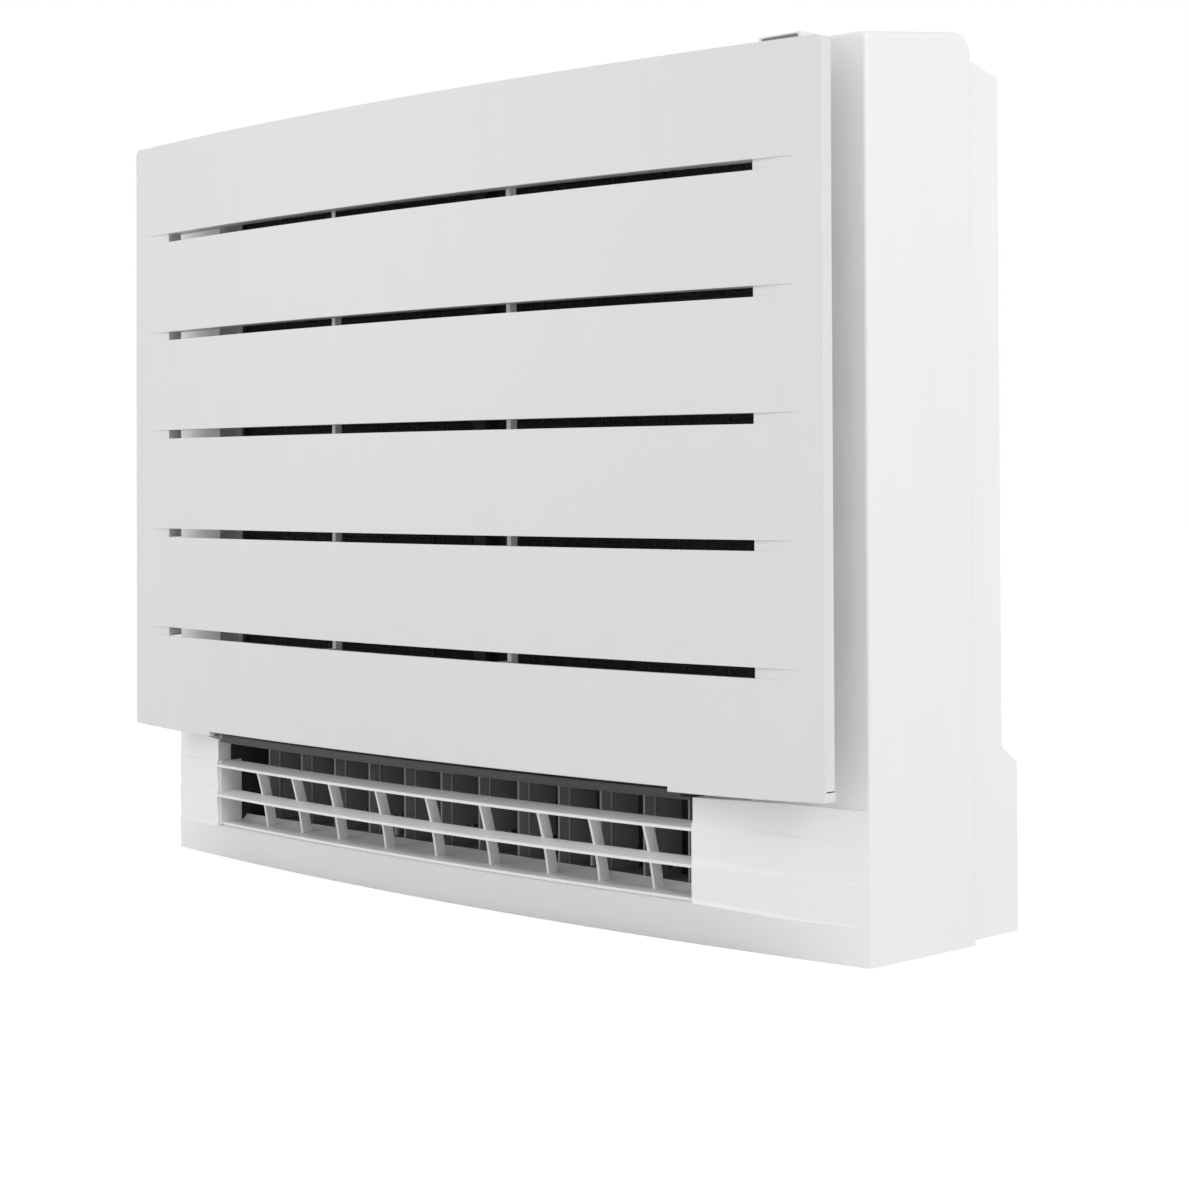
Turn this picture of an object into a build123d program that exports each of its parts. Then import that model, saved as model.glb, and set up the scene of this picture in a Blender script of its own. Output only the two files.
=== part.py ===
from build123d import *
import math
import os

# Low wall air conditioner: a crowned front panel floats on a white casing, room air is drawn in
# round and through the panel by a turbo fan behind the coil, and leaves by a slot in the top and by
# a guarded outlet at the foot. X runs to the right as seen from the room, the wall is the plane
# Y = depth / 2, the room lies towards -Y and Z runs up from the floor. Sizes are in millimetres, and
# a value that ends in _out is a distance from the wall.

os.makedirs("parts", exist_ok=True)

# ---------------------------------------------------------------- overall
width = 750
depth = 238
height = 600
half = width / 2
running = 0.05          # radial clearance of a pin that turns in a hole
slip = 0.3              # clearance between faces that slide or swing past each other
past = 1                # how far a cut runs past the face that it opens, or a root sinks into its part
soft_edge = 1           # rounding of small moulded pieces

# ---------------------------------------------------------------- white front casing
wall = 2.5
corner_out = 170        # front corner edges of the casing
rear_edge_out = 60      # rear edge of the casing's sides
front_crown = 25        # how far the middle of the front stands ahead of the corners
top_drop = 12.5         # fall of the top from its rear edge to the front corners
rear_top_round = 15
rear_foot_round = 12
rim_round = 5
corner_round = 3

# ---------------------------------------------------------------- lower outlet
outlet_half = 261
outlet_low = 33
outlet_high = 101.3

# ---------------------------------------------------------------- foot of the casing, round the outlet
foot_proud = 0.5        # the foot's lower edge stands this far ahead of the casing's front
foot_middle_out = 224
foot_x = (outlet_half, 320, 372)        # beside the outlet, at the kink and at the corner
foot_out = (212, 190.6, 170.9)
foot_top = (101, 100.2, 98)
ledge_levels = ((outlet_low, 56.7, 80.3), (27.3, 54.6, 79.6), (24.7, 51.2, 76.6))
ledge_rise_inner = ((2.3, 6.4, 5.8), (2.3, 1.9, 2.2))       # from the outlet to the kink
ledge_rise_outer = ((1.4, 0.9, 1.2), (0.9, 1.1, 0.9))       # from the kink to the corner
ledge_proud = (1.5, 1.2, 0.6)           # how far each ledge stands ahead of the band above it

# ---------------------------------------------------------------- air intake behind the panel
intake_half = 305
intake_low = 150
intake_high = 530
intake_back_out = 158.5
intake_lip = 4
intake_lip_depth = 1.5
centre_post = 10
post_depth = 4.5

# ---------------------------------------------------------------- upper outlet
top_slot_half = 280
top_slot_front_out = 172

# ---------------------------------------------------------------- front panel
panel_low = 108.5
panel_high = 582
panel_edge_out = 212.9
panel_rim = 8.4         # depth of the panel's edge
panel_rim_wall = 3
panel_skin = 3
panel_corner = 5
panel_face_round = 0.8
slot_count = 5
slot_pitch = 80
slot_first = 185
slot_height = 7
slot_half = 321
slot_hood = 14          # depth of the inward curl over each slot
slot_hood_wall = 1.6
groove_half = 358       # the slots run out in grooves that end here
groove_depth = 2.2
stiffener_x = 97.5
stiffener_width = 4
stiffener_depth = 19
stiffener_low = 150
stiffener_high = 540
stiffener_left_high = 480

# ---------------------------------------------------------------- panel hinge and stops
hinge_x = 290
hinge_out = 190
hinge_z = 105
hinge_pin = 2
hinge_eye = 4
hinge_arm = 6
hinge_ear = 3
stop_x = 180
stop_width = 26
stop_height = 8
stop_depth = 9
stop_travel = 6

# ---------------------------------------------------------------- air filters and their shelf
shelf_back_out = 149
shelf_low = 145
shelf_upstand = 8
filter_thick = 5
filter_frame = 7
filter_rib = 1.6
filter_net = 0.6
filter_columns = 5
filter_rows = 6
filter_lift = 6
cleaner_width = 110
cleaner_height = 46
cleaner_thick = 7
cleaner_pleats = 14

# ---------------------------------------------------------------- rear casing and wall plate
rear_inset = 12.2       # how far its sides stand inside the front casing's
rear_half = half - rear_inset
rear_out = 17
rear_wall = 2.5
rear_high = 584.5
rear_slant_out = 43
rear_slant_drop = 7.5
rear_step_z = 126       # below this the rear casing reaches the wall
rear_step_low = 114
rear_front_out = 75
floor_front_out = 166
boss_radius = 5
pipe_gate_left = -340
pipe_gate_right = -250
pipe_gate_low = 22
pipe_gate_high = 92
plate_half = 240
plate_low = 150
plate_high = 540
plate_thick = 1.5
plate_flange = 12
plate_rim = 30          # metal left round the plate's window, inside the screws
plate_corner = 10
plate_hook_x = 190
plate_hook_width = 24
wall_screw_x = 150
wall_screw_spacing_z = 300
wall_screw_radius = 3
screw_x = (intake_half + rear_half) / 2       # midway between the intake and the rear casing's side
screw_low = 145
screw_high = 562
screw_head = 4
screw_head_high = 2.2
screw_shank = 1.9
screw_length = 24
screw_seat_depth = 0.9

# ---------------------------------------------------------------- flap over the upper outlet
flap_axis_out = 114
flap_axis_drop = 6.5    # hinge axis below the top face
flap_pin = 2
flap_thick = 2.5
ear = 4
ear_radius = 5.5

# ---------------------------------------------------------------- fan, motor and air guides
fan_z = 335
fan_radius = 160
fan_back_out = 36
fan_disc = 2.5
fan_blade_count = 8
fan_blade = 3
fan_blade_root = 92
vane_bow_share = 0.78   # a blade bows most at this share of the fan's radius
vane_bow_turn = 9       # degrees by which that place lags the blade's root
vane_tip_turn = 32      # degrees by which the blade's tip lags its root
fan_front_out = 84
fan_ring = 2.5
fan_inlet = 118
fan_boss = 13
fan_boss_front_out = 74
fan_boss_length = 14
hub_mouth = 64
shaft_radius = 4
motor_radius = 45
motor_front_out = 42
motor_nose = 8
motor_lug = 7
nut_radius = 9
nut_high = 6
motor_window = 60       # radius of the housing's hole round the motor
motor_base = 2
orifice_out = 104
orifice_thick = 2
orifice_radius = 112
orifice_lip_out = 93
guide_half = 300
guide_low = 101
guide_high = 515
scroll_low_half = 258
scroll_waist_half = 184
scroll_high = 505
scroll_wall = 3
scroll_back_out = 30

# ---------------------------------------------------------------- lower duct, louvres and guard
duct_wall = 2
duct_back_out = 46
duct_top = 99
duct_floor = 29
duct_floor_out = 142
duct_cheek_out = 179
duct_back_low = 52
duct_sump = 18
duct_sump_out = 82
rail_thick = 6
rail_back_out = 144
rail_front_out = 180
rail_lip = 2
rail_lip_low = 24
rail_lip_half = 228
louvre_count = 6        # in each half of the lower outlet
louvre_pitch = 42
louvre_low = 37
louvre_high = 97
louvre_back_out = 148
louvre_front_out = 184
louvre_axis_out = 174
louvre_thick = 1.8
louvre_pin = 1.5
link_out = 154
link_z = 46
link_high = 2.4
link_wide = 6
link_pin = 1.2
link_notch = 9
knob_louvres = (5, 10)
knob_width = 7
knob_reach = 9
knob_arm = 2.6
seal_proud = 2
seal_wide = 6
seal_high = 4
seal_half = 252
guard_edge_drop = 12    # how far the bars fall back from the middle to the ends of the outlet
guard_bar = 2
guard_bar_depth = 15
guard_bar_rise = 2.8
guard_bar_levels = (55.7, 79.3)
guard_bar_out = (225.5, 225.5)
guard_sill_out = 221
guard_rib = 2.2
guard_rib_depth = 8.5
guard_rib_out = (218, 211, 207)
guard_rib_inner_pitch = 58
guard_rib_outer_pitch = 48.5
guard_end = 2
guard_sill_depth = 18
shutter_axis_out = 52
shutter_axis_z = 95
shutter_length = 44
shutter_thick = 1.8
shutter_pin = 2

# ---------------------------------------------------------------- upper duct and its louvres
upper_half = 279
upper_back_out = 110
upper_front_out = 172
upper_back_knee_out = 50
upper_back_knee_z = 548
upper_bend_z = 566
upper_front_knee_z = 532
upper_front_bend_z = 552
upper_top = 580
upper_louvre_count = 5
upper_louvre_pitch = 100
upper_louvre_z = 570
upper_louvre_high = 8
upper_louvre_low = 14
upper_link_rise = 2.2   # link pins above the blades' lower edges
upper_link_wide = 5.4

# ---------------------------------------------------------------- coil, pan and pipes
coil_left = -262
coil_right = 258
coil_back_out = 112
coil_thick = 25
coil_low = 112
coil_high = 527
tube_radius = 3.5
tube_count = 20
tube_pitch = 20.5
tube_first = 131
tube_stub = 9
sheet_thick = 1.5
sheet_edge = 2
fin_groove = 1.4
fin_pitch = 8
fin_groove_depth = 2
pan_half = 296
pan_front_out = 145
pan_low = 103
pan_high = 124
pan_wall = 2
drain_x = -288
drain_out = 120
drain_radius = 7
drain_bore = 5.5
drain_low = 30
drain_socket = 14
drain_ripple = 6
drain_collar = 10
drain_gate = 22         # radius of the hole in the floor under the drain hose
liquid_radius = 3.175
gas_radius = 4.76
pipe_bend = 14
liquid_x = -318
gas_x = -340
liquid_low = 70
gas_low = 44
pipe_end_out = 64
nut_length = 16
liquid_nut = 8.5
gas_nut = 11

# ---------------------------------------------------------------- electrical parts and display
box_gap = 4.8           # from the box to the rear casing's side
box_wide = 49
box_right = rear_half - box_gap
box_left = box_right - box_wide
box_back_out = 66
box_front_out = 148
box_low = 190
box_high = 470
box_wall = 1.2
bracket_wide = 27
board_thick = 1.6
board_gap = 6
board_bay = 84          # the board starts this far above the foot of the box, over the terminals
capacitor_radius = 9
capacitor_high = 28
capacitor_rises = (40, 62)
coil_core_half = 16     # the board's transformer: half width, reach, and foot above the board's edge
coil_core_deep = 20
coil_core_rise = 84
coil_core_high = 28
relay_rise = 126
relay_pitch = 14
relay_size = 9
relay_left = 18
relay_right = 4
relay_count = 3
terminal_width = 30
terminal_height = 60
terminal_depth = 18
terminal_ways = 4
vent_pitch = 16
vent_count = 12
vent_high = 4
motor_can = 14
motor_can_depth = 18
motor_can_drop = 11    # the can hangs this far below its own shaft
tab_side = 48           # from the casing's side to the tab
tab_wide = 37
tab_right = half - tab_side
tab_left = tab_right - tab_wide
tab_back_out = 160
tab_front_out = 177
tab_high = 594.5
tab_wall = 1.5
window_high = 3
button_radius = 4
button_high = 3.4
button_travel = 0.8


def at(out):
    """Y of a plane that lies this far out from the wall."""
    return depth / 2 - out


def front_plane(out):
    """Upright plane facing the room, this far out from the wall."""
    return Plane.XZ.offset(-at(out))


def level(z):
    """Horizontal plane at height z."""
    return Plane.XY.offset(z)


def side_plane(x):
    """Upright plane facing +X."""
    return Plane.YZ.offset(x)


def block(left, right, near, far, low, high):
    """Block from left to right, from near to far out from the wall, and from low to high."""
    with BuildPart() as piece:
        with BuildSketch(level(low)):
            with Locations(((left + right) / 2, at((near + far) / 2))):
                Rectangle(right - left, far - near)
        extrude(amount=high - low)
    return piece.part


def rod(plane, places, radius, length):
    """Round rods that rise from the given places of a plane."""
    with BuildPart() as piece:
        with BuildSketch(plane):
            with Locations(*places):
                Circle(radius)
        extrude(amount=length)
    return piece.part


def crown_slice(z, middle_out, edge_out, thick, left, right, span=half):
    """Flat slice at height z between two equal arcs, thick apart, that bow towards the room."""
    with BuildSketch(level(z)) as piece:
        with BuildLine():
            ThreePointArc((-span, at(edge_out)), (0, at(middle_out)), (span, at(edge_out)))
            Line((span, at(edge_out)), (span, at(edge_out - thick)))
            ThreePointArc(
                (span, at(edge_out - thick)), (0, at(middle_out - thick)), (-span, at(edge_out - thick))
            )
            Line((-span, at(edge_out - thick)), (-span, at(edge_out)))
        make_face()
        with Locations(((left + right) / 2, 0)):
            Rectangle(right - left, 4 * depth, mode=Mode.INTERSECT)
    return piece.sketch


def top_at(out):
    """Height of the sloping top; its rounded rear edge peaks at the full height."""
    slope = top_drop / (corner_out - rear_edge_out)
    peak = height + rear_top_round * (slope + math.hypot(1, slope) - 1)
    return peak - slope * (out - rear_edge_out)


def polar(radius, turn):
    """Point at a radius, turned clockwise by this many degrees."""
    return (radius * math.cos(math.radians(turn)), -radius * math.sin(math.radians(turn)))


def fallen_back(x, middle_out, edge_out, span):
    """How far out a shallow arc stands at x, when it bows from edge_out at span to middle_out."""
    return middle_out - (middle_out - edge_out) * (x / span) ** 2


def finish(part, name):
    """Give a finished piece its name and write it."""
    part.label = name
    export_step(part, f"parts/{name}.step")


flap_axis_z = top_at(flap_axis_out) - flap_axis_drop
top_slot_rear_out = flap_axis_out - flap_axis_drop - slip


# ================================================================ front casing
def casing_block(inset, low):
    """Solid inside the casing's outer faces, drawn in by inset."""
    side = half - inset
    corner = corner_out - inset
    rear = rear_edge_out + inset
    reach = corner_out + front_crown
    with BuildPart() as piece:
        with BuildSketch(level(low)):
            with BuildLine():
                Polyline((-side, at(corner)), (-side, at(rear)), (side, at(rear)), (side, at(corner)))
                ThreePointArc((side, at(corner)), (0, at(corner + front_crown)), (-side, at(corner)))
            make_face()
        extrude(amount=height + top_drop - low)
        with BuildSketch(side_plane(-side)) as profile:
            with BuildLine():
                Polyline(
                    (at(rear), low),
                    (at(rear), top_at(rear) - inset),
                    (at(reach), top_at(reach) - inset),
                    (at(reach), low),
                    close=True,
                )
            make_face()
            rear_corners = profile.vertices().group_by(Axis.Y)[-1].sort_by(Axis.Z)
            fillet(rear_corners[-1], rear_top_round - inset)
            fillet(profile.vertices().group_by(Axis.Y)[-1].sort_by(Axis.Z)[0], rear_foot_round)
        extrude(amount=2 * side, mode=Mode.INTERSECT)
    return piece.part


def foot_profile(station, x, rises, inset):
    """Section of the foot's flank at x: a ledge along the foot of each band, then its sloping top."""
    front = foot_out[station] - inset
    bottom = fallen_back(x, corner_out + front_crown, corner_out, half) + foot_proud - inset
    low = -inset
    points = [(at(bottom), low)]
    for z, rise in zip(ledge_levels[station], rises):
        points.append((at(front + ledge_proud[station]), z))
        points.append((at(front), z + rise))
    top = foot_top[station] - inset
    points += [(at(front), top), (at(corner_out - 2 * wall), top), (at(corner_out - 2 * wall), low)]
    with BuildSketch(side_plane(x)) as piece:
        with BuildLine():
            Polyline(*points, close=True)
        make_face()
    return piece.sketch


def foot_lip(z, proud, inset):
    """Slice of the foot below the outlet, bowed like the casing's front."""
    middle_out = (corner_out + front_crown, foot_middle_out)[z > 0] + proud - inset
    edge_out = (fallen_back(outlet_half, corner_out + front_crown, corner_out, half), foot_out[0])[z > 0]
    edge_out += proud - inset
    return crown_slice(z, middle_out, edge_out, edge_out - corner_out + 2 * wall,
                       -outlet_half, outlet_half, outlet_half)


def foot(inset):
    """The foot: a lip below the outlet and, on each side, a flank that runs back to the corner."""
    near, kink, corner = foot_x[0] + inset, foot_x[1], foot_x[2] - inset
    with BuildPart() as right_flank:
        loft([foot_profile(0, near, ledge_rise_inner[0], inset),
              foot_profile(1, kink, ledge_rise_inner[1], inset)], ruled=True)
        loft([foot_profile(1, kink, ledge_rise_outer[0], inset),
              foot_profile(2, corner, ledge_rise_outer[1], inset)], ruled=True)
    with BuildPart() as piece:
        loft([foot_lip(-inset, foot_proud, inset), foot_lip(outlet_low - inset, ledge_proud[0], inset)],
             ruled=True)
        add(right_flank.part)
        add(mirror(right_flank.part, about=Plane.YZ))
    return piece.part


with BuildPart() as outer:
    add(casing_block(0, 0))
    for side in (-half, half):
        flank = outer.faces().filter_by(Axis.X).sort_by(lambda face: abs(face.center().X - side))[0]
        fillet(flank.edges().filter_by(Axis.Z).sort_by(Axis.Y)[-1], rim_round)
    fillet(outer.edges().filter_by(Axis.Z).group_by(Axis.Y)[0], corner_round)
    add(foot(0))

intake_middle = (intake_low + intake_high) / 2
intake_height = intake_high - intake_low
with BuildPart() as tunnel:
    with BuildSketch(front_plane(intake_back_out)):
        with Locations((0, intake_middle)):
            Rectangle(2 * (intake_half + wall), intake_height + 2 * wall)
            Rectangle(2 * intake_half, intake_height, mode=Mode.SUBTRACT)
    extrude(amount=corner_out + front_crown - intake_back_out)
    with BuildSketch(front_plane(intake_back_out)):
        with Locations((0, intake_middle)):
            Rectangle(2 * intake_half, intake_height)
            Rectangle(2 * (intake_half - intake_lip), intake_height - 2 * intake_lip, mode=Mode.SUBTRACT)
    extrude(amount=intake_lip_depth)
    add(block(-centre_post / 2, centre_post / 2, intake_back_out, intake_back_out + post_depth,
              intake_low, intake_high))
    add(outer.part, mode=Mode.INTERSECT)

# The shelf below the intake carries the two filters, and its raised rear edge keeps them upright.
with BuildPart() as filter_shelf:
    add(block(-intake_half, intake_half, shelf_back_out, intake_back_out + wall, shelf_low, shelf_low + wall))
    add(block(-intake_half, intake_half, shelf_back_out, shelf_back_out + intake_lip_depth,
              shelf_low, shelf_low + shelf_upstand))

# Two ears under the top hold the flap's hinge pins, one ear outside each end of the slot.
with BuildPart() as flap_ears:
    for inner in (top_slot_half + slip, -top_slot_half - slip - ear):
        with BuildSketch(side_plane(inner)):
            with Locations((at(flap_axis_out), flap_axis_z)):
                Circle(ear_radius)
            with Locations((at(flap_axis_out), flap_axis_z + ear_radius / 2)):
                Rectangle(2 * ear_radius, ear_radius)
        extrude(amount=ear)
    add(outer.part, mode=Mode.INTERSECT)

# Ears on the foot's ledge hold the panel's hinge pins.
with BuildPart() as panel_ears:
    for x in (-hinge_x, hinge_x):
        for left in (x - hinge_arm / 2 - slip - hinge_ear, x + hinge_arm / 2 + slip):
            with BuildSketch(side_plane(left)):
                with BuildLine():
                    Polyline(
                        (at(hinge_out - 3 * hinge_eye), foot_top[1] - wall / 2),
                        (at(hinge_out + hinge_pin), foot_top[1] - wall / 2),
                        (at(hinge_out + hinge_eye), hinge_z),
                        (at(hinge_out - hinge_eye), hinge_z),
                        close=True,
                    )
                make_face()
                with Locations((at(hinge_out), hinge_z)):
                    Circle(hinge_eye)
            extrude(amount=hinge_ear)
    with BuildSketch(side_plane(-half)):
        with Locations((at(hinge_out), hinge_z)):
            Circle(hinge_pin + running)
    extrude(amount=width, mode=Mode.SUBTRACT)

# Screw seats behind the panel, where the white casing is fixed to the posts of the rear casing.
screw_places = [(x, z) for x in (-screw_x, screw_x) for z in (screw_low, screw_high)]
screw_seat_out = corner_out + front_crown * (1 - (screw_x / half) ** 2) - screw_seat_depth

with BuildPart() as front_casing:
    add(outer.part)
    add(casing_block(wall, -rear_foot_round), mode=Mode.SUBTRACT)
    add(foot(wall), mode=Mode.SUBTRACT)
    # Room for the lower duct's cheeks beside the outlet.
    add(block(-outlet_half - duct_wall - 2 * slip, outlet_half + duct_wall + 2 * slip,
              intake_back_out, duct_cheek_out + slip, -past, outlet_high), mode=Mode.SUBTRACT)
    add(block(-rear_half - slip, rear_half + slip, rear_edge_out - wall, rear_edge_out + 2 * wall,
              -rear_foot_round, rear_high + slip), mode=Mode.SUBTRACT)
    add(block(-outlet_half, outlet_half, intake_back_out, depth, outlet_low, outlet_high), mode=Mode.SUBTRACT)
    add(block(-intake_half, intake_half, intake_back_out, depth, intake_low, intake_high), mode=Mode.SUBTRACT)
    add(block(-top_slot_half, top_slot_half, top_slot_rear_out, top_slot_front_out,
              height - 3 * top_drop, height + top_drop), mode=Mode.SUBTRACT)
    add(tunnel.part)
    add(filter_shelf.part)
    add(flap_ears.part)
    add(panel_ears.part)
    ear_end = top_slot_half + slip + ear + past
    add(rod(side_plane(-ear_end), [(at(flap_axis_out), flap_axis_z)], flap_pin + running, 2 * ear_end),
        mode=Mode.SUBTRACT)
    add(rod(front_plane(screw_seat_out), screw_places, screw_head + slip, depth), mode=Mode.SUBTRACT)
    add(rod(front_plane(screw_seat_out - 2 * wall), screw_places, screw_shank + slip, depth),
        mode=Mode.SUBTRACT)

finish(front_casing.part, "front_casing")

# ================================================================ front panel
stop_low = panel_high - panel_rim_wall - slip - stop_height
slot_levels = [slot_first + slot_pitch * index for index in range(slot_count)]


def panel_band(z, high, near, far, left, right):
    """Band of the panel's crown, from near to far behind its face."""
    flat = crown_slice(z, depth - near, panel_edge_out - near, far - near, left, right)
    with BuildPart() as piece:
        extrude(flat, amount=high)
    return piece.part


with BuildPart() as front_panel:
    add(panel_band(panel_low, panel_high - panel_low, 0, panel_rim, -half, half))
    fillet(front_panel.edges().filter_by(Axis.Y), panel_corner)
    face = front_panel.faces().sort_by(lambda side: side.area)[-2:].sort_by(Axis.Y)[0]
    fillet(face.edges(), panel_face_round)
    add(panel_band(panel_low + panel_rim_wall, panel_high - panel_low - 2 * panel_rim_wall,
                   panel_skin, 2 * panel_rim, -half + panel_rim_wall, half - panel_rim_wall),
        mode=Mode.SUBTRACT)
    # A hood behind each slot: its top curls inwards and its ends close the slot at the sides.
    for z in slot_levels:
        low = z - slot_height / 2
        add(panel_band(low, slot_height + slot_hood_wall, panel_skin / 2, slot_hood,
                       -slot_half - slot_hood_wall, slot_half + slot_hood_wall))
    # Two upright stiffeners tie the slats together behind the slots.
    for x, high in ((-stiffener_x, stiffener_left_high), (stiffener_x, stiffener_high)):
        add(panel_band(stiffener_low, high - stiffener_low, panel_skin / 2, stiffener_depth,
                       x - stiffener_width / 2, x + stiffener_width / 2))
    for z in slot_levels:
        add(panel_band(z - slot_height / 2, slot_height, -panel_rim, slot_hood - past, -slot_half, slot_half),
            mode=Mode.SUBTRACT)
        for left, right in ((-slot_half, -stiffener_x - stiffener_width / 2),
                            (-stiffener_x + stiffener_width / 2, stiffener_x - stiffener_width / 2),
                            (stiffener_x + stiffener_width / 2, slot_half)):
            add(panel_band(z - slot_height / 2, slot_height, 0, slot_hood + past, left, right),
                mode=Mode.SUBTRACT)
    # Beyond its ends each slot runs out in a groove that gets shallower.
    groove_root = fallen_back(slot_half, depth, panel_edge_out, half) - groove_depth
    groove_tip = fallen_back(groove_half, depth, panel_edge_out, half)
    for z in slot_levels:
        for side in (-1, 1):
            with BuildSketch(level(z - slot_height / 2)):
                with BuildLine():
                    Polyline(
                        (side * slot_half, at(groove_root)),
                        (side * groove_half, at(groove_tip)),
                        (side * groove_half, at(depth)),
                        (side * slot_half, at(depth)),
                        close=True,
                    )
                make_face()
            extrude(amount=slot_height, mode=Mode.SUBTRACT)
    # A shelf under each stop guides it along the panel's upper edge.
    for x in (-stop_x, stop_x):
        reach = stop_width / 2 + 2 * stop_travel
        add(panel_band(stop_low - slip - slot_hood_wall, slot_hood_wall, panel_skin / 2,
                       panel_skin + stop_depth, x - reach, x + reach))
    # Hinge arms reach down and back to pins that turn in ears on the casing's foot.
    for x in (-hinge_x, hinge_x):
        face_out = fallen_back(x, depth, panel_edge_out, half) - panel_skin
        with BuildSketch(side_plane(x - hinge_arm / 2)):
            with BuildLine():
                Polyline(
                    (at(face_out + past), panel_low + past),
                    (at(hinge_out + 2 * hinge_eye), panel_low + past),
                    (at(hinge_out + hinge_eye), hinge_z),
                    (at(hinge_out - hinge_eye), hinge_z),
                    (at(hinge_out), hinge_z + hinge_eye),
                    (at(face_out - panel_rim), panel_low + panel_rim_wall + panel_rim),
                    (at(face_out + past), panel_low + panel_rim_wall + panel_rim),
                    close=True,
                )
            make_face()
            with Locations((at(hinge_out), hinge_z)):
                Circle(hinge_eye)
        extrude(amount=hinge_arm)
        add(rod(side_plane(x - hinge_arm / 2 - hinge_ear - slip), [(at(hinge_out), hinge_z)],
                hinge_pin, hinge_arm + 2 * (hinge_ear + slip)))

finish(front_panel.part, "front_panel")

# ---------------------------------------------------------------- panel stops
with BuildPart() as stop_blank:
    stop_face_out = fallen_back(stop_x + stop_width, depth, panel_edge_out, half) - panel_skin - slip
    add(block(stop_x - stop_width / 2, stop_x + stop_width / 2, stop_face_out - stop_depth, stop_face_out,
              stop_low, stop_low + stop_height))
    fillet(stop_blank.edges().filter_by(Axis.Z), soft_edge)
    with BuildSketch(front_plane(stop_face_out - stop_depth)):
        with GridLocations(stop_width / 6, 1, 4, 1):
            with Locations((stop_x, stop_low + stop_height / 2)):
                Rectangle(stop_width / 14, stop_height / 2)
    extrude(amount=-stop_height / 6)

with BuildPart() as right_panel_stop:
    add(stop_blank.part)
with BuildPart() as left_panel_stop:
    add(mirror(stop_blank.part, about=Plane.YZ))
finish(right_panel_stop.part, "right_panel_stop")
finish(left_panel_stop.part, "left_panel_stop")

# ================================================================ rear casing
def rear_block(inset):
    """Solid inside the rear casing's outer faces, drawn in by inset: upper part and foot to the wall."""
    with BuildPart() as piece:
        with BuildSketch(side_plane(-rear_half + inset)) as profile:
            with BuildLine():
                Polyline(
                    (at(rear_front_out), 0),
                    (at(inset), 0),
                    (at(inset), rear_step_low - inset),
                    (at(rear_out + inset), rear_step_z - inset),
                    (at(rear_out + inset), rear_high - rear_slant_drop - inset),
                    (at(rear_slant_out), rear_high - inset),
                    (at(rear_front_out), rear_high - inset),
                    close=True,
                )
            make_face()
            fillet(profile.vertices().sort_by(Axis.Z)[-4:-2], rear_wall + soft_edge - inset / 2)
        extrude(amount=2 * (rear_half - inset))
    return piece.part


post_front_out = fallen_back(screw_x + boss_radius, corner_out + front_crown, corner_out, half) - wall - slip
with BuildPart() as rear_casing:
    add(rear_block(0))
    add(rear_block(rear_wall), mode=Mode.SUBTRACT)
    add(block(-rear_half + rear_wall, rear_half - rear_wall, rear_wall, floor_front_out, 0, rear_wall))
    add(block(-rear_half, rear_half, rear_front_out, floor_front_out, 0, rear_wall))
    add(block(pipe_gate_left, pipe_gate_right, -past, 2 * rear_wall, pipe_gate_low, pipe_gate_high),
        mode=Mode.SUBTRACT)
    add(rod(level(-past), [(drain_x, at(drain_out))], drain_gate, rear_wall + 2 * past), mode=Mode.SUBTRACT)
    # Posts for the casing's four screws stand on the back wall.
    add(rod(front_plane(rear_out + rear_wall / 2), screw_places, boss_radius,
            post_front_out - rear_out - rear_wall / 2))
    add(rod(front_plane(screw_seat_out - screw_length), screw_places, screw_shank, screw_length),
        mode=Mode.SUBTRACT)
    # Two windows in the back take the hooks of the wall plate.
    for x in (-plate_hook_x, plate_hook_x):
        add(block(x - plate_hook_width / 2 - slip, x + plate_hook_width / 2 + slip,
                  rear_out - past, rear_out + 2 * rear_wall,
                  plate_high - 3 * plate_thick - slip, plate_high - 2 * plate_thick + slip),
            mode=Mode.SUBTRACT)

finish(rear_casing.part, "rear_casing")

# ---------------------------------------------------------------- wall plate
with BuildPart() as wall_plate:
    add(block(-plate_half, plate_half, 0, plate_thick, plate_low, plate_high))
    for low in (plate_low, plate_high - plate_thick):
        add(block(-plate_half, plate_half, plate_thick, plate_flange, low, low + plate_thick))
    # Hooks run back from the plate, through the windows, and turn up behind the rear casing's wall.
    for x in (-plate_hook_x, plate_hook_x):
        near = rear_out + rear_wall + slip
        low = plate_high - 3 * plate_thick
        add(block(x - plate_hook_width / 2, x + plate_hook_width / 2, plate_thick, near + plate_thick,
                  low, low + plate_thick))
        add(block(x - plate_hook_width / 2, x + plate_hook_width / 2, near, near + plate_thick,
                  low, low + plate_flange))
    with BuildSketch(front_plane(-past)):
        with Locations((0, (plate_low + plate_high) / 2)):
            with GridLocations(2 * wall_screw_x, wall_screw_spacing_z, 2, 2):
                Circle(wall_screw_radius)
    extrude(amount=past + 2 * plate_thick, mode=Mode.SUBTRACT)
    with BuildSketch(front_plane(-past)):
        with Locations((0, (plate_low + plate_high) / 2)):
            RectangleRounded(2 * (wall_screw_x - plate_rim), wall_screw_spacing_z, plate_corner)
    extrude(amount=past + 2 * plate_thick, mode=Mode.SUBTRACT)

finish(wall_plate.part, "wall_plate")

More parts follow.
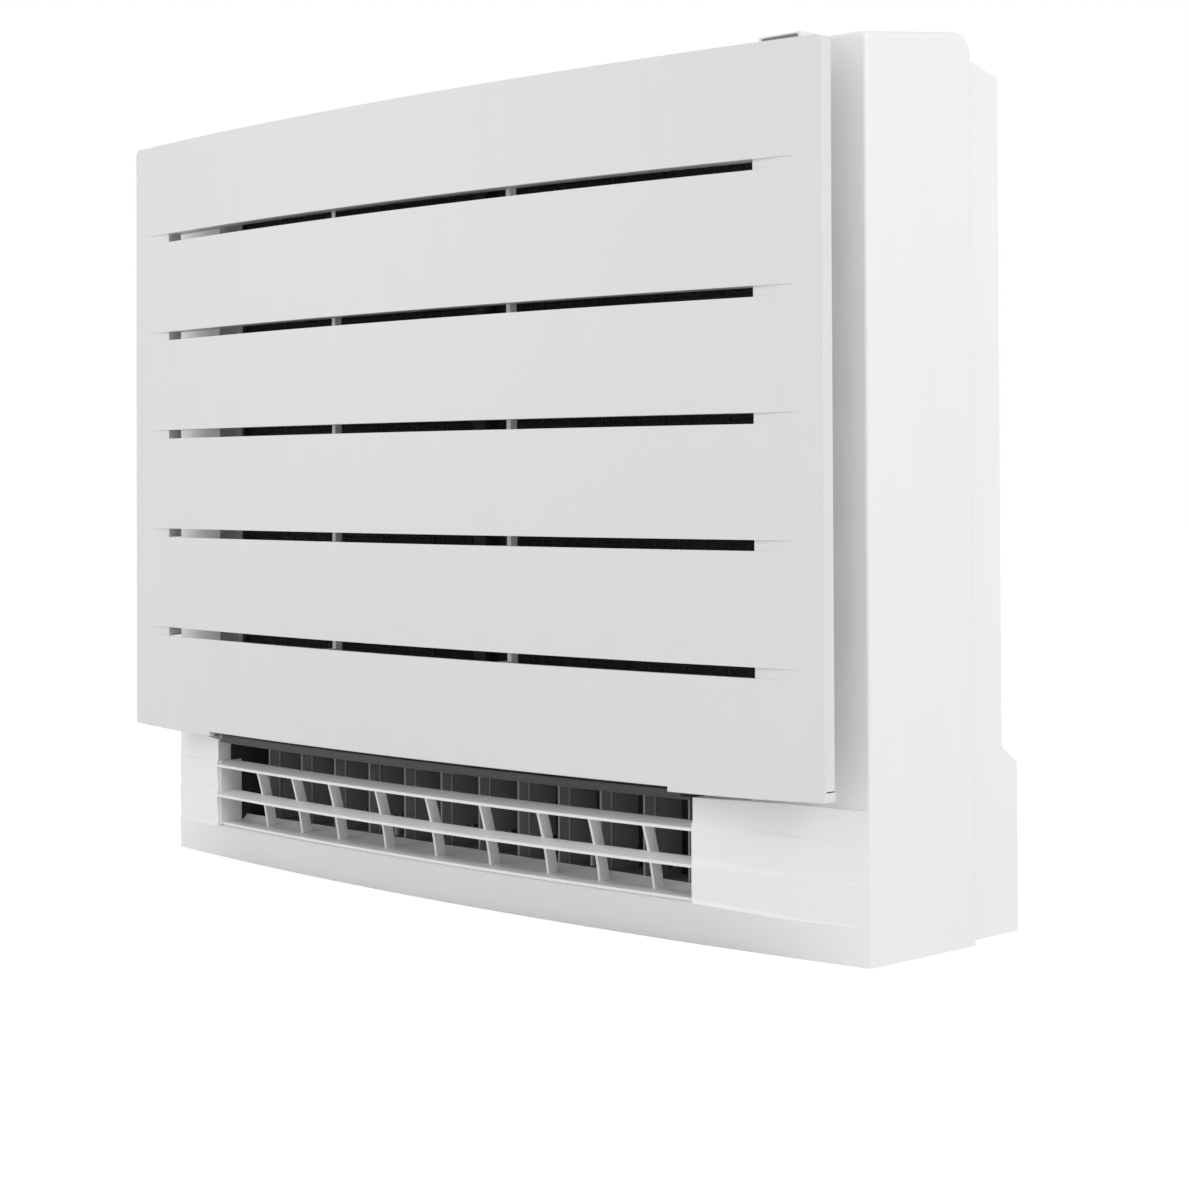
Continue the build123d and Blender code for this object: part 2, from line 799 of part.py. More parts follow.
# ---------------------------------------------------------------- casing screws
with BuildPart() as casing_screws:
    add(rod(front_plane(screw_seat_out), screw_places, screw_head, screw_head_high))
    fillet(casing_screws.edges().group_by(Axis.Y)[0], screw_head_high / 3)
    add(rod(front_plane(screw_seat_out - screw_length), screw_places, screw_shank, screw_length))
    for x, z in screw_places:
        with BuildSketch(front_plane(screw_seat_out + screw_head_high / 2)):
            for turn in (0, 90):
                with Locations(Location((x, z), turn)):
                    Rectangle(screw_head, screw_head / 5)
        extrude(amount=screw_head_high, mode=Mode.SUBTRACT)

finish(casing_screws.part, "casing_screws")

# ================================================================ flap over the upper outlet
flap_half = top_slot_half - slip
flap_nose_out = top_slot_front_out - 2 * slip
with BuildPart() as top_flap:
    with BuildSketch(side_plane(-flap_half)):
        with BuildLine():
            Polyline(
                (at(flap_axis_out), top_at(flap_axis_out)),
                (at(flap_nose_out), top_at(flap_nose_out)),
                (at(flap_nose_out), top_at(flap_nose_out) - flap_thick),
                (at(flap_axis_out), top_at(flap_axis_out) - flap_thick),
                close=True,
            )
        make_face()
        with Locations((at(flap_axis_out), flap_axis_z)):
            Circle(flap_axis_drop * math.cos(math.atan(top_drop / (corner_out - rear_edge_out))))
    extrude(amount=2 * flap_half)
    add(rod(side_plane(-top_slot_half - slip - ear), [(at(flap_axis_out), flap_axis_z)], flap_pin,
            2 * (top_slot_half + slip + ear) + motor_can_depth / 2))

finish(top_flap.part, "top_flap")

# ================================================================ guard of the lower outlet
guard_half = outlet_half - slip
guard_low = outlet_low + slip
guard_top = guard_bar_levels[-1] + guard_bar + guard_bar_rise
rib_places = [0]
for side in (-1, 1):
    for index in (1, 2):
        rib_places.append(side * index * guard_rib_inner_pitch)
        rib_places.append(side * (2 * guard_rib_inner_pitch + index * guard_rib_outer_pitch))


def guard_slice(z, middle_out, near, far, left=-guard_half, right=guard_half):
    """Slice of a guard bar at height z, from near to far behind its curved front edge."""
    return crown_slice(z, middle_out - near, middle_out - guard_edge_drop - near, far - near,
                       left, right, outlet_half)


with BuildPart() as outlet_guard:
    for z, middle_out in zip(guard_bar_levels, guard_bar_out):
        extrude(guard_slice(z, middle_out, 0, guard_bar_depth), amount=guard_bar)
        loft([guard_slice(z + guard_bar, middle_out, 0, guard_bar_depth),
              guard_slice(z + guard_bar + guard_bar_rise, middle_out,
                          guard_bar_depth - guard_bar, guard_bar_depth)], ruled=True)
    extrude(guard_slice(guard_low, guard_sill_out, 0, guard_sill_depth), amount=guard_bar)
    for x in rib_places:
        back = guard_edge_drop * (x / outlet_half) ** 2
        top_out, waist_out, foot_out = (out - back for out in guard_rib_out)
        with BuildSketch(side_plane(x - guard_rib / 2)):
            with BuildLine():
                front = ThreePointArc(
                    (at(foot_out), guard_low + guard_bar / 2),
                    (at(waist_out), guard_bar_levels[0]),
                    (at(top_out), guard_bar_levels[1] + guard_bar / 2),
                )
                Line(front @ 1, (at(top_out - guard_rib_depth), guard_bar_levels[1] + guard_bar / 2))
                ThreePointArc(
                    (at(top_out - guard_rib_depth), guard_bar_levels[1] + guard_bar / 2),
                    (at(waist_out - guard_rib_depth), guard_bar_levels[0]),
                    (at(foot_out - guard_rib_depth), guard_low + guard_bar / 2),
                )
                Line((at(foot_out - guard_rib_depth), guard_low + guard_bar / 2), front @ 0)
            make_face()
        extrude(amount=guard_rib)
    end_out = guard_sill_out - guard_edge_drop
    for left in (-guard_half, guard_half - guard_end):
        add(block(left, left + guard_end, end_out - guard_sill_depth, end_out + guard_bar,
                  guard_low, guard_top))

finish(outlet_guard.part, "outlet_guard")

# ================================================================ lower duct
duct_half = outlet_half + slip
duct_bottom_path = (
    (at(duct_back_out), duct_top),
    (at(duct_back_out), duct_back_low),
    (at(duct_sump_out), duct_sump),
    (at(duct_floor_out), duct_floor),
    (at(rail_front_out), duct_floor),
)
louvre_places = [side * louvre_pitch * (index + 1 / 2) for side in (-1, 1) for index in range(louvre_count)]
louvre_places.sort()

with BuildPart() as lower_duct:
    # Back wall, sump and floor are one bent sheet.
    with BuildSketch(side_plane(-duct_half)):
        with BuildLine() as sheet:
            Polyline(*duct_bottom_path)
        trace(sheet.line, line_width=duct_wall)
    extrude(amount=2 * duct_half)
    for left in (-duct_half - duct_wall, duct_half):
        with BuildSketch(side_plane(left)):
            with BuildLine():
                Polyline(*duct_bottom_path[:-1], (at(duct_cheek_out), duct_floor),
                         (at(duct_cheek_out), duct_top), close=True)
            make_face()
        extrude(amount=duct_wall)
    # A flange at the back carries the fan housing.
    add(block(-duct_half - duct_wall, duct_half + duct_wall, scroll_back_out - scroll_wall,
              duct_back_out + duct_wall, duct_top, duct_top + duct_wall))
    # The roof reaches out over the louvres to the panel's lower edge.
    roof_half = guard_half - guard_end - slip
    roof_front_out = guard_bar_out[-1] - duct_wall
    roof_deep = roof_front_out - orifice_out - 2 * guard_bar_depth
    extrude(crown_slice(duct_top, roof_front_out, roof_front_out - guard_edge_drop, roof_deep,
                        -roof_half, roof_half, outlet_half), amount=duct_wall)
    add(block(-duct_half - duct_wall, duct_half + duct_wall, orifice_out + orifice_thick + slip,
              corner_out + wall, duct_top, duct_top + duct_wall))
    add(rod(level(duct_top - past), [(x, at(louvre_axis_out)) for x in louvre_places],
            louvre_pin + running, 2 * duct_wall), mode=Mode.SUBTRACT)
    add(rod(side_plane(-half), [(at(shutter_axis_out), shutter_axis_z)], shutter_pin + running, width),
        mode=Mode.SUBTRACT)

finish(lower_duct.part, "lower_duct")

# The dark seal along the roof's front edge closes the gap under the panel.
with BuildPart() as outlet_seal:
    seal_front_out = roof_front_out + seal_proud
    extrude(crown_slice(duct_top + duct_wall, seal_front_out, seal_front_out - guard_edge_drop, seal_wide,
                        -seal_half, seal_half, outlet_half), amount=seal_high)
finish(outlet_seal.part, "outlet_seal")

# ---------------------------------------------------------------- lower louvres
rail_low = duct_floor + duct_wall / 2
with BuildPart() as louvre_rail:
    add(block(-duct_half + slip, duct_half - slip, rail_back_out, rail_front_out,
              rail_low, rail_low + rail_thick))
    # A lip hangs down in front of the duct's floor and hides its edge.
    lip_out = rail_front_out + slip
    add(block(-rail_lip_half, rail_lip_half, rail_front_out - past, lip_out + rail_lip,
              rail_low, rail_low + rail_thick))
    add(block(-rail_lip_half, rail_lip_half, lip_out, lip_out + rail_lip, rail_lip_low, rail_low + past))
    fillet(louvre_rail.edges().filter_by(Axis.X).group_by(Axis.Z)[-1], duct_wall / 2)
    add(rod(level(rail_low + duct_wall / 2), [(x, at(louvre_axis_out)) for x in louvre_places],
            louvre_pin + running, rail_thick), mode=Mode.SUBTRACT)
finish(louvre_rail.part, "louvre_rail")


def lower_louvre(x, knob):
    """One upright blade with pins above and below, and a notch whose pin carries the link."""
    with BuildPart() as piece:
        with BuildSketch(side_plane(x - louvre_thick / 2)):
            with Locations((at((louvre_back_out + louvre_front_out) / 2), (louvre_low + louvre_high) / 2)):
                RectangleRounded(louvre_front_out - louvre_back_out, louvre_high - louvre_low, louvre_pin)
            with Locations((at(link_out), link_z)):
                Rectangle(link_notch + link_wide, link_notch, mode=Mode.SUBTRACT)
            if knob:
                # The knob is an arm towards the room with its end bent down.
                with Locations((at(louvre_front_out + knob_reach / 2 - past),
                                link_z + (knob_width - knob_arm) / 2)):
                    Rectangle(knob_reach + 2 * past, knob_arm)
                with Locations((at(louvre_front_out + knob_reach - knob_arm / 2), link_z)):
                    Rectangle(knob_arm, knob_width)
        extrude(amount=louvre_thick)
        bottom = rail_low + duct_wall
        add(rod(level(bottom), [(x, at(louvre_axis_out))], louvre_pin, duct_top + duct_wall - bottom))
        add(rod(level(link_z - link_notch / 2 - past), [(x, at(link_out))], link_pin, link_notch + 2 * past))
    return piece.part


for number, x in enumerate(louvre_places, start=1):
    finish(lower_louvre(x, number in knob_louvres), f"lower_louvre_{number}")


def link_bar(places, name):
    """Flat bar that ties one half's louvres together, with an eye round each louvre's link pin."""
    with BuildPart() as piece:
        with BuildSketch(level(link_z - link_high / 2)):
            with Locations(((places[0] + places[-1]) / 2, at(link_out))):
                SlotOverall(places[-1] - places[0] + 2 * link_wide, link_wide)
            with Locations(*[(x, at(link_out)) for x in places]):
                Circle(link_pin + running, mode=Mode.SUBTRACT)
        extrude(amount=link_high)
    finish(piece.part, name)


link_bar(louvre_places[:louvre_count], "lower_left_link")
link_bar(louvre_places[louvre_count:], "lower_right_link")

# ---------------------------------------------------------------- shutter of the lower outlet
with BuildPart() as lower_shutter:
    with BuildSketch(side_plane(-duct_half + slip)):
        with Locations((at(shutter_axis_out), shutter_axis_z)):
            Circle(shutter_pin + shutter_thick / 2)
        with Locations((at(shutter_axis_out), shutter_axis_z - shutter_length / 2)):
            Rectangle(shutter_thick, shutter_length)
    extrude(amount=2 * (duct_half - slip))
    add(rod(side_plane(-duct_half - duct_wall), [(at(shutter_axis_out), shutter_axis_z)], shutter_pin,
            2 * (duct_half + duct_wall) + slip + motor_can_depth / 2))
finish(lower_shutter.part, "lower_shutter")

# ================================================================ fan housing
with BuildPart() as fan_housing:
    for side in (-1, 1):
        with BuildSketch(front_plane(scroll_back_out)):
            with BuildLine() as wrap:
                ThreePointArc(
                    (side * scroll_low_half, guide_low + scroll_wall / 2),
                    (side * scroll_waist_half, fan_z),
                    (side * (upper_half - scroll_wall), scroll_high - scroll_wall),
                )
            trace(wrap.line, line_width=scroll_wall)
        extrude(amount=orifice_out - scroll_back_out)
    add(block(-scroll_low_half, scroll_low_half, scroll_back_out - scroll_wall, scroll_back_out,
              guide_low, scroll_high - duct_wall))
    with BuildSketch(front_plane(scroll_back_out - 2 * scroll_wall)):
        with Locations((0, fan_z)):
            Circle(motor_window)
    extrude(amount=3 * scroll_wall, mode=Mode.SUBTRACT)
finish(fan_housing.part, "fan_housing")

with BuildPart() as fan_orifice:
    with BuildSketch(front_plane(orifice_out)):
        with Locations((0, (guide_low + guide_high) / 2)):
            Rectangle(2 * guide_half, guide_high - guide_low)
        with Locations((0, fan_z)):
            Circle(orifice_radius + orifice_thick, mode=Mode.SUBTRACT)
    extrude(amount=orifice_thick)
    with BuildSketch(Plane.YZ):
        with BuildLine():
            Polyline(
                (at(orifice_lip_out), fan_z + orifice_radius),
                (at(orifice_lip_out), fan_z + orifice_radius + orifice_thick),
                (at(orifice_out - orifice_thick), fan_z + orifice_radius + orifice_thick),
                (at(orifice_out), fan_z + orifice_radius + 3 * orifice_thick),
                (at(orifice_out + orifice_thick), fan_z + orifice_radius + 3 * orifice_thick),
                (at(orifice_out + orifice_thick), fan_z + orifice_radius + 2 * orifice_thick),
                (at(orifice_out), fan_z + orifice_radius),
                close=True,
            )
        make_face()
    revolve(axis=Axis((0, 0, fan_z), (0, 1, 0)))
finish(fan_orifice.part, "fan_orifice")

# ---------------------------------------------------------------- turbo fan
fan_axis = Axis((0, 0, fan_z), (0, 1, 0))
with BuildSketch(front_plane(fan_back_out)) as fan_vane:
    with BuildLine() as vane_line:
        ThreePointArc(
            (fan_blade_root, 0),
            polar(vane_bow_share * fan_radius, vane_bow_turn),
            polar(fan_radius, vane_tip_turn),
        )
    trace(vane_line.line, line_width=fan_blade)

with BuildPart() as turbo_fan:
    with BuildSketch(front_plane(fan_back_out)):
        with Locations((0, fan_z)):
            Circle(fan_radius)
            Circle(hub_mouth, mode=Mode.SUBTRACT)
    extrude(amount=fan_disc)
    with BuildSketch(front_plane(fan_front_out)):
        with Locations((0, fan_z)):
            Circle(fan_radius)
            Circle(fan_inlet, mode=Mode.SUBTRACT)
    extrude(amount=fan_ring)
    with BuildSketch(front_plane(fan_front_out)):
        with Locations((0, fan_z)):
            Circle(fan_inlet + fan_ring)
            Circle(fan_inlet, mode=Mode.SUBTRACT)
    extrude(amount=orifice_lip_out - fan_front_out + 3 * fan_ring)
    with BuildSketch(front_plane(fan_back_out + fan_disc / 2)):
        with Locations((0, fan_z)):
            with PolarLocations(0, fan_blade_count):
                add(fan_vane.sketch.moved(Location((0, at(fan_back_out), 0), (90, 0, 0)).inverse()))
    extrude(amount=fan_front_out - fan_back_out)
    # A cone over the motor joins the disc to the boss on the shaft.
    with BuildSketch(Plane.YZ):
        with BuildLine():
            Polyline(
                (at(fan_back_out), fan_z + hub_mouth + fan_disc),
                (at(fan_back_out + fan_disc), fan_z + hub_mouth + fan_disc),
                (at(fan_boss_front_out), fan_z + fan_boss),
                (at(fan_boss_front_out), fan_z + shaft_radius),
                (at(fan_boss_front_out - fan_boss_length), fan_z + shaft_radius),
                (at(fan_boss_front_out - fan_boss_length), fan_z + fan_boss - fan_disc),
                (at(fan_back_out), fan_z + hub_mouth - fan_disc),
                close=True,
            )
        make_face()
    revolve(axis=fan_axis)
finish(turbo_fan.part, "turbo_fan")

motor_back_out = rear_out + rear_wall

# The nut that holds the fan on its shaft.
with BuildPart() as fan_nut:
    with BuildSketch(front_plane(fan_boss_front_out)):
        with Locations((0, fan_z)):
            RegularPolygon(nut_radius, 6)
            Circle(shaft_radius, mode=Mode.SUBTRACT)
    extrude(amount=nut_high)
    chamfer(fan_nut.edges().filter_by(GeomType.LINE).group_by(Axis.Y)[0], nut_radius / 12)
finish(fan_nut.part, "fan_nut")

finish(rod(front_plane(motor_back_out + motor_base), [(0, fan_z)], shaft_radius,
           fan_boss_front_out + nut_high + motor_base - motor_back_out), "motor_shaft")

with BuildPart() as fan_motor:
    add(rod(front_plane(motor_back_out), [(0, fan_z)], motor_radius, motor_front_out - motor_back_out))
    fillet(fan_motor.edges().group_by(Axis.Y)[0], motor_base)
    add(rod(front_plane(motor_front_out - past), [(0, fan_z)], 2 * shaft_radius, motor_nose + past))
    with BuildSketch(front_plane(motor_back_out + motor_base)):
        with Locations((0, fan_z)):
            with PolarLocations(motor_radius, 3, start_angle=90):
                Circle(motor_lug)
    extrude(amount=-motor_base)
    add(rod(front_plane(motor_back_out + motor_base - running), [(0, fan_z)], shaft_radius + running, depth),
        mode=Mode.SUBTRACT)
finish(fan_motor.part, "fan_motor")

# ================================================================ upper duct
upper_middle = (upper_louvre_count - 1) / 2
upper_places = [upper_louvre_pitch * (index - upper_middle) for index in range(upper_louvre_count)]
rear_wall_path = (
    (at(scroll_back_out), scroll_high),
    (at(upper_back_knee_out), upper_back_knee_z),
    (at(upper_back_out), upper_bend_z),
    (at(upper_back_out), upper_top),
)
front_wall_path = (
    (at(orifice_out + orifice_thick / 2), guide_high),
    (at(orifice_out + orifice_thick / 2), upper_front_knee_z),
    (at(upper_front_out), upper_front_bend_z),
    (at(upper_front_out), upper_top),
)
with BuildPart() as upper_duct:
    for path in (rear_wall_path, front_wall_path):
        with BuildSketch(side_plane(-upper_half)):
            with BuildLine() as sheet:
                Polyline(*path)
            trace(sheet.line, line_width=duct_wall)
        extrude(amount=2 * upper_half)
    for left in (-upper_half - duct_wall, upper_half):
        with BuildSketch(side_plane(left)):
            with BuildLine():
                Polyline(*rear_wall_path, *front_wall_path[::-1], (at(orifice_out), guide_high),
                         (at(orifice_out), scroll_high), close=True)
            make_face()
        extrude(amount=duct_wall)
    add(rod(front_plane(upper_back_out - duct_wall), [(x, upper_louvre_z) for x in upper_places],
            louvre_pin + running, upper_front_out - upper_back_out + 2 * duct_wall), mode=Mode.SUBTRACT)
finish(upper_duct.part, "upper_duct")

upper_link_z = upper_louvre_z - upper_louvre_low + upper_link_rise


def upper_louvre(x):
    """One blade that rocks about a pin across the duct, with a lower pin for the link."""
    near = upper_back_out + duct_wall / 2 + slip
    far = upper_front_out - duct_wall / 2 - slip
    middle = (near + far) / 2
    with BuildPart() as piece:
        with BuildSketch(side_plane(x - louvre_thick / 2)):
            with Locations((at(middle), upper_louvre_z + (upper_louvre_high - upper_louvre_low) / 2)):
                RectangleRounded(far - near, upper_louvre_high + upper_louvre_low, 2 * louvre_pin)
            with Locations((at(middle), upper_link_z)):
                Rectangle(link_notch, link_notch, mode=Mode.SUBTRACT)
        extrude(amount=louvre_thick)
        add(rod(front_plane(upper_back_out - duct_wall / 2), [(x, upper_louvre_z)], louvre_pin,
                upper_front_out - upper_back_out + duct_wall))
        add(rod(front_plane(middle - link_notch / 2 - past), [(x, upper_link_z)], link_pin,
                link_notch + 2 * past))
    return piece.part


for number, x in enumerate(upper_places, start=1):
    finish(upper_louvre(x), f"upper_louvre_{number}")

with BuildPart() as upper_link:
    middle = (upper_back_out + upper_front_out) / 2
    with BuildSketch(front_plane(middle - link_wide / 4)):
        with Locations((0, upper_link_z)):
            SlotOverall(upper_places[-1] - upper_places[0] + 2 * link_wide, upper_link_wide)
        with Locations(*[(x, upper_link_z) for x in upper_places]):
            Circle(link_pin + running, mode=Mode.SUBTRACT)
    extrude(amount=link_wide / 2)
finish(upper_link.part, "upper_link")

# ================================================================ coil
row_outs = (coil_back_out + coil_thick / 4, coil_back_out + 3 * coil_thick / 4)
tube_levels = [tube_first + tube_pitch * index for index in range(tube_count)]
tube_places = [(at(out), z) for out in row_outs for z in tube_levels]

with BuildPart() as coil_fins:
    fin_count = int((coil_right - coil_left) / fin_pitch)
    with BuildSketch(level(coil_low)):
        with Locations(((coil_left + coil_right) / 2, at(coil_back_out + coil_thick / 2))):
            Rectangle(coil_right - coil_left, coil_thick)
            with GridLocations(fin_pitch, coil_thick, fin_count, 2):
                Rectangle(fin_groove, 2 * fin_groove_depth, mode=Mode.SUBTRACT)
    extrude(amount=coil_high - coil_low)
    with BuildSketch(side_plane(coil_left)):
        with Locations(*tube_places):
            Circle(tube_radius)
    extrude(amount=coil_right - coil_left, mode=Mode.SUBTRACT)
finish(coil_fins.part, "coil_fins")

with BuildPart() as tube_sheets:
    for left in (coil_left - sheet_thick, coil_right):
        add(block(left, left + sheet_thick, coil_back_out - sheet_edge,
                  coil_back_out + coil_thick + sheet_edge, coil_low, coil_high))
    with BuildSketch(side_plane(coil_left - sheet_thick)):
        with Locations(*tube_places):
            Circle(tube_radius)
    extrude(amount=coil_right - coil_left + 2 * sheet_thick, mode=Mode.SUBTRACT)
finish(tube_sheets.part, "tube_sheets")

tube_left = coil_left - tube_stub
tube_right = coil_right + tube_stub
with BuildPart() as coil_tubes:
    with BuildSketch(side_plane(tube_left)):
        with Locations(*tube_places):
            Circle(tube_radius)
    extrude(amount=tube_right - tube_left)
    # Return bends join neighbouring tubes, at the right and at the left end by turns.
    for out in row_outs:
        for index, z in enumerate(tube_levels[:-1]):
            end, turn = (tube_right, 0) if index % 2 == 0 else (tube_left, 180)
            with BuildSketch(Plane(origin=(end, at(out), z), x_dir=(0, 1, 0), z_dir=(1, 0, 0))):
                Circle(tube_radius)
            hinge = Axis((end, 0, z + tube_pitch / 2), (0, 1, 0))
            revolve(axis=hinge, revolution_arc=180 if turn else -180)
    # A crossover at the top left end joins the two rows.
    last_end = (tube_left, at(row_outs[0]), tube_levels[-1])
    with BuildSketch(Plane(origin=last_end, x_dir=(0, 1, 0), z_dir=(1, 0, 0))):
        Circle(tube_radius)
    crossover = Axis((tube_left, at(coil_back_out + coil_thick / 2), 0), (0, 0, 1))
    revolve(axis=crossover, revolution_arc=180)
finish(coil_tubes.part, "coil_tubes")

# ---------------------------------------------------------------- drain pan and drain
pan_back_out = orifice_out + orifice_thick

with BuildPart() as drain_pan:
    add(block(-pan_half, pan_half, pan_back_out, pan_front_out, pan_low, pan_high))
    fillet(drain_pan.edges().filter_by(Axis.Z), 2 * pan_wall)
    add(block(-pan_half + pan_wall, pan_half - pan_wall, pan_back_out + pan_wall, pan_front_out - pan_wall,
              pan_low + pan_wall, pan_high + past), mode=Mode.SUBTRACT)
    # Cross ribs in the trough carry the coil.
    for x in (coil_left + coil_thick, (coil_left + coil_right) / 2, coil_right - coil_thick):
        add(block(x, x + pan_wall, pan_back_out, pan_front_out, pan_low, coil_low))
    add(rod(level(pan_low - drain_socket), [(drain_x, at(drain_out))], drain_radius, drain_socket + past))
    add(rod(level(pan_low - drain_socket - past), [(drain_x, at(drain_out))], drain_bore,
            drain_socket + pan_wall + 2 * past), mode=Mode.SUBTRACT)
finish(drain_pan.part, "drain_pan")

with BuildPart() as drain_hose:
    add(rod(level(drain_low), [(drain_x, at(drain_out))], drain_radius + pan_wall,
            pan_low - slip - drain_low))
    for index in range(int((pan_low - drain_low - drain_socket) / drain_ripple)):
        z = drain_low + drain_collar + drain_ripple * index
        with BuildSketch(level(z)):
            with Locations((drain_x, at(drain_out))):
                Circle(drain_radius + 2 * pan_wall)
                Circle(drain_radius + pan_wall / 2, mode=Mode.SUBTRACT)
        extrude(amount=drain_ripple / 2)
    add(rod(level(drain_low - past), [(drain_x, at(drain_out))], drain_radius, pan_low), mode=Mode.SUBTRACT)
finish(drain_hose.part, "drain_hose")


# ---------------------------------------------------------------- refrigerant pipes
def pipe(start_out, run_x, low, radius, name):
    """Pipe from the coil's first tube of one row: out to the side, down, then back towards the wall."""
    route = [
        (tube_left, at(start_out), tube_first),
        (run_x, at(start_out), tube_first),
        (run_x, at(start_out), low),
        (run_x, at(pipe_end_out), low),
    ]
    with BuildPart() as piece:
        with BuildLine() as line:
            FilletPolyline(*route, radius=pipe_bend)
        with BuildSketch(Plane(origin=route[0], x_dir=(0, 1, 0), z_dir=(-1, 0, 0))):
            Circle(radius)
        sweep()
    finish(piece.part, name)


def flare_nut(x, low, radius, across):
    """Flare nut that hangs on the end of a pipe."""
    with BuildPart() as piece:
        with BuildSketch(front_plane(pipe_end_out)):
            with Locations((x, low)):
                RegularPolygon(across, 6)
        extrude(amount=nut_length)
        chamfer(piece.edges().filter_by(GeomType.LINE).group_by(Axis.Y)[-1], across / 8)
        add(rod(front_plane(pipe_end_out - past), [(x, low)], radius, nut_length + 2 * past),
            mode=Mode.SUBTRACT)
    return piece.part


pipe(row_outs[0], liquid_x, liquid_low, liquid_radius, "liquid_pipe")
pipe(row_outs[1], gas_x, gas_low, gas_radius, "gas_pipe")
with BuildPart() as flare_nuts:
    add(flare_nut(liquid_x, liquid_low, liquid_radius, liquid_nut))
    add(flare_nut(gas_x, gas_low, gas_radius, gas_nut))
finish(flare_nuts.part, "flare_nuts")

# ================================================================ filters
def air_filter(left, right):
    """Net in a ribbed frame that stands on the shelf behind the intake."""
    low = shelf_low + wall + slip
    high = intake_high + intake_lip
    with BuildPart() as piece:
        with BuildSketch(front_plane(intake_back_out - slip - filter_thick)):
            with Locations(((left + right) / 2, (low + high) / 2)):
                RectangleRounded(right - left, high - low, filter_frame / 2)
                Rectangle(right - left - 2 * filter_frame, high - low - 2 * filter_frame, mode=Mode.SUBTRACT)
        extrude(amount=filter_thick)
        with BuildSketch(front_plane(intake_back_out - slip - filter_thick / 2 - filter_rib)):
            with Locations(((left + right) / 2, (low + high) / 2)):
                with GridLocations((right - left) / filter_columns, 1, filter_columns - 1, 1):
                    Rectangle(filter_rib, high - low - filter_frame)
                with GridLocations(1, (high - low) / filter_rows, 1, filter_rows - 1):
                    Rectangle(right - left - filter_frame, filter_rib)
        extrude(amount=2 * filter_rib)
        with BuildSketch(front_plane(intake_back_out - slip - filter_thick / 2)):
            with Locations(((left + right) / 2, (low + high) / 2)):
                Rectangle(right - left - filter_frame, high - low - filter_frame)
        extrude(amount=filter_net)
    return piece.part


filter_inner = slip
filter_outer = intake_half - slip
finish(air_filter(-filter_outer, -filter_inner), "left_air_filter")
finish(air_filter(filter_inner, filter_outer), "right_air_filter")


def air_cleaner(x):
    """Pleated deodorising cartridge clipped to the back of a filter."""
    near = intake_back_out - slip - filter_thick - cleaner_thick
    z = intake_high - cleaner_height
    with BuildPart() as piece:
        with BuildSketch(front_plane(near)):
            with Locations((x, z)):
                Rectangle(cleaner_width, cleaner_height)
                Rectangle(cleaner_width - filter_frame, cleaner_height - filter_frame, mode=Mode.SUBTRACT)
        extrude(amount=cleaner_thick)
        with BuildSketch(front_plane(near + filter_rib)):
            with Locations((x, z)):
                with GridLocations(cleaner_width / cleaner_pleats, 1, cleaner_pleats - 1, 1):
                    Rectangle(filter_rib, cleaner_height - filter_frame / 2)
                Rectangle(cleaner_width - filter_frame / 2, filter_rib)
        extrude(amount=cleaner_thick - 2 * filter_rib)
    return piece.part


finish(air_cleaner(-(filter_inner + filter_outer) / 2), "left_air_cleaner")
finish(air_cleaner((filter_inner + filter_outer) / 2), "right_air_cleaner")

# ================================================================ electrical box
with BuildPart() as electrical_box:
    add(block(box_left, box_right, box_back_out, box_front_out, box_low, box_high))
    fillet(electrical_box.edges().filter_by(Axis.Y), 2 * box_wall)
    add(block(box_left + box_wall, box_right - box_wall, box_back_out + box_wall, box_front_out + past,
              box_low + box_wall, box_high - box_wall), mode=Mode.SUBTRACT)
    # Two brackets join the box to the back of the rear casing.
    for low in (box_low, box_high - 2 * box_wall):
        add(block(box_left + box_wall, box_left + bracket_wide, rear_out + rear_wall, box_back_out + box_wall,
                  low, low + 2 * box_wall))
finish(electrical_box.part, "electrical_box")

with BuildPart() as electrical_cover:
    add(block(box_left, box_right, box_front_out, box_front_out + box_wall, box_low, box_high))
    fillet(electrical_cover.edges().filter_by(Axis.Y), 2 * box_wall)
    with BuildSketch(front_plane(box_front_out)):
        with Locations(((box_left + box_right) / 2, (box_low + box_high) / 2)):
            with GridLocations(1, vent_pitch, 1, vent_count):
                SlotOverall((box_right - box_left) / 2, vent_high)
    extrude(amount=box_wall, mode=Mode.SUBTRACT)
finish(electrical_cover.part, "electrical_cover")

board_out = box_back_out + box_wall + board_gap
with BuildPart() as control_board:
    low = box_low + board_bay
    middle = (box_left + box_right) / 2
    face_out = board_out + board_thick
    add(block(box_left + 2 * box_wall, box_right - 2 * box_wall, board_out, face_out,
              low, box_high - board_gap))
    add(rod(front_plane(face_out), [(middle, low + rise) for rise in capacitor_rises],
            capacitor_radius, capacitor_high))
    add(block(middle - coil_core_half, middle + coil_core_half, face_out, face_out + coil_core_deep,
              low + coil_core_rise, low + coil_core_rise + coil_core_high))
    for index in range(relay_count):
        foot_z = low + relay_rise + relay_pitch * index
        add(block(middle - relay_left, middle - relay_right, face_out, face_out + relay_size,
                  foot_z, foot_z + relay_size))
    # Four stand-offs carry the board.
    with BuildSketch(front_plane(box_back_out + box_wall)):
        with Locations((middle, (low + box_high - board_gap) / 2)):
            with GridLocations(box_right - box_left - 4 * board_gap, box_high - low - 5 * board_gap, 2, 2):
                Circle(board_gap / 2)
    extrude(amount=board_gap)
finish(control_board.part, "control_board")

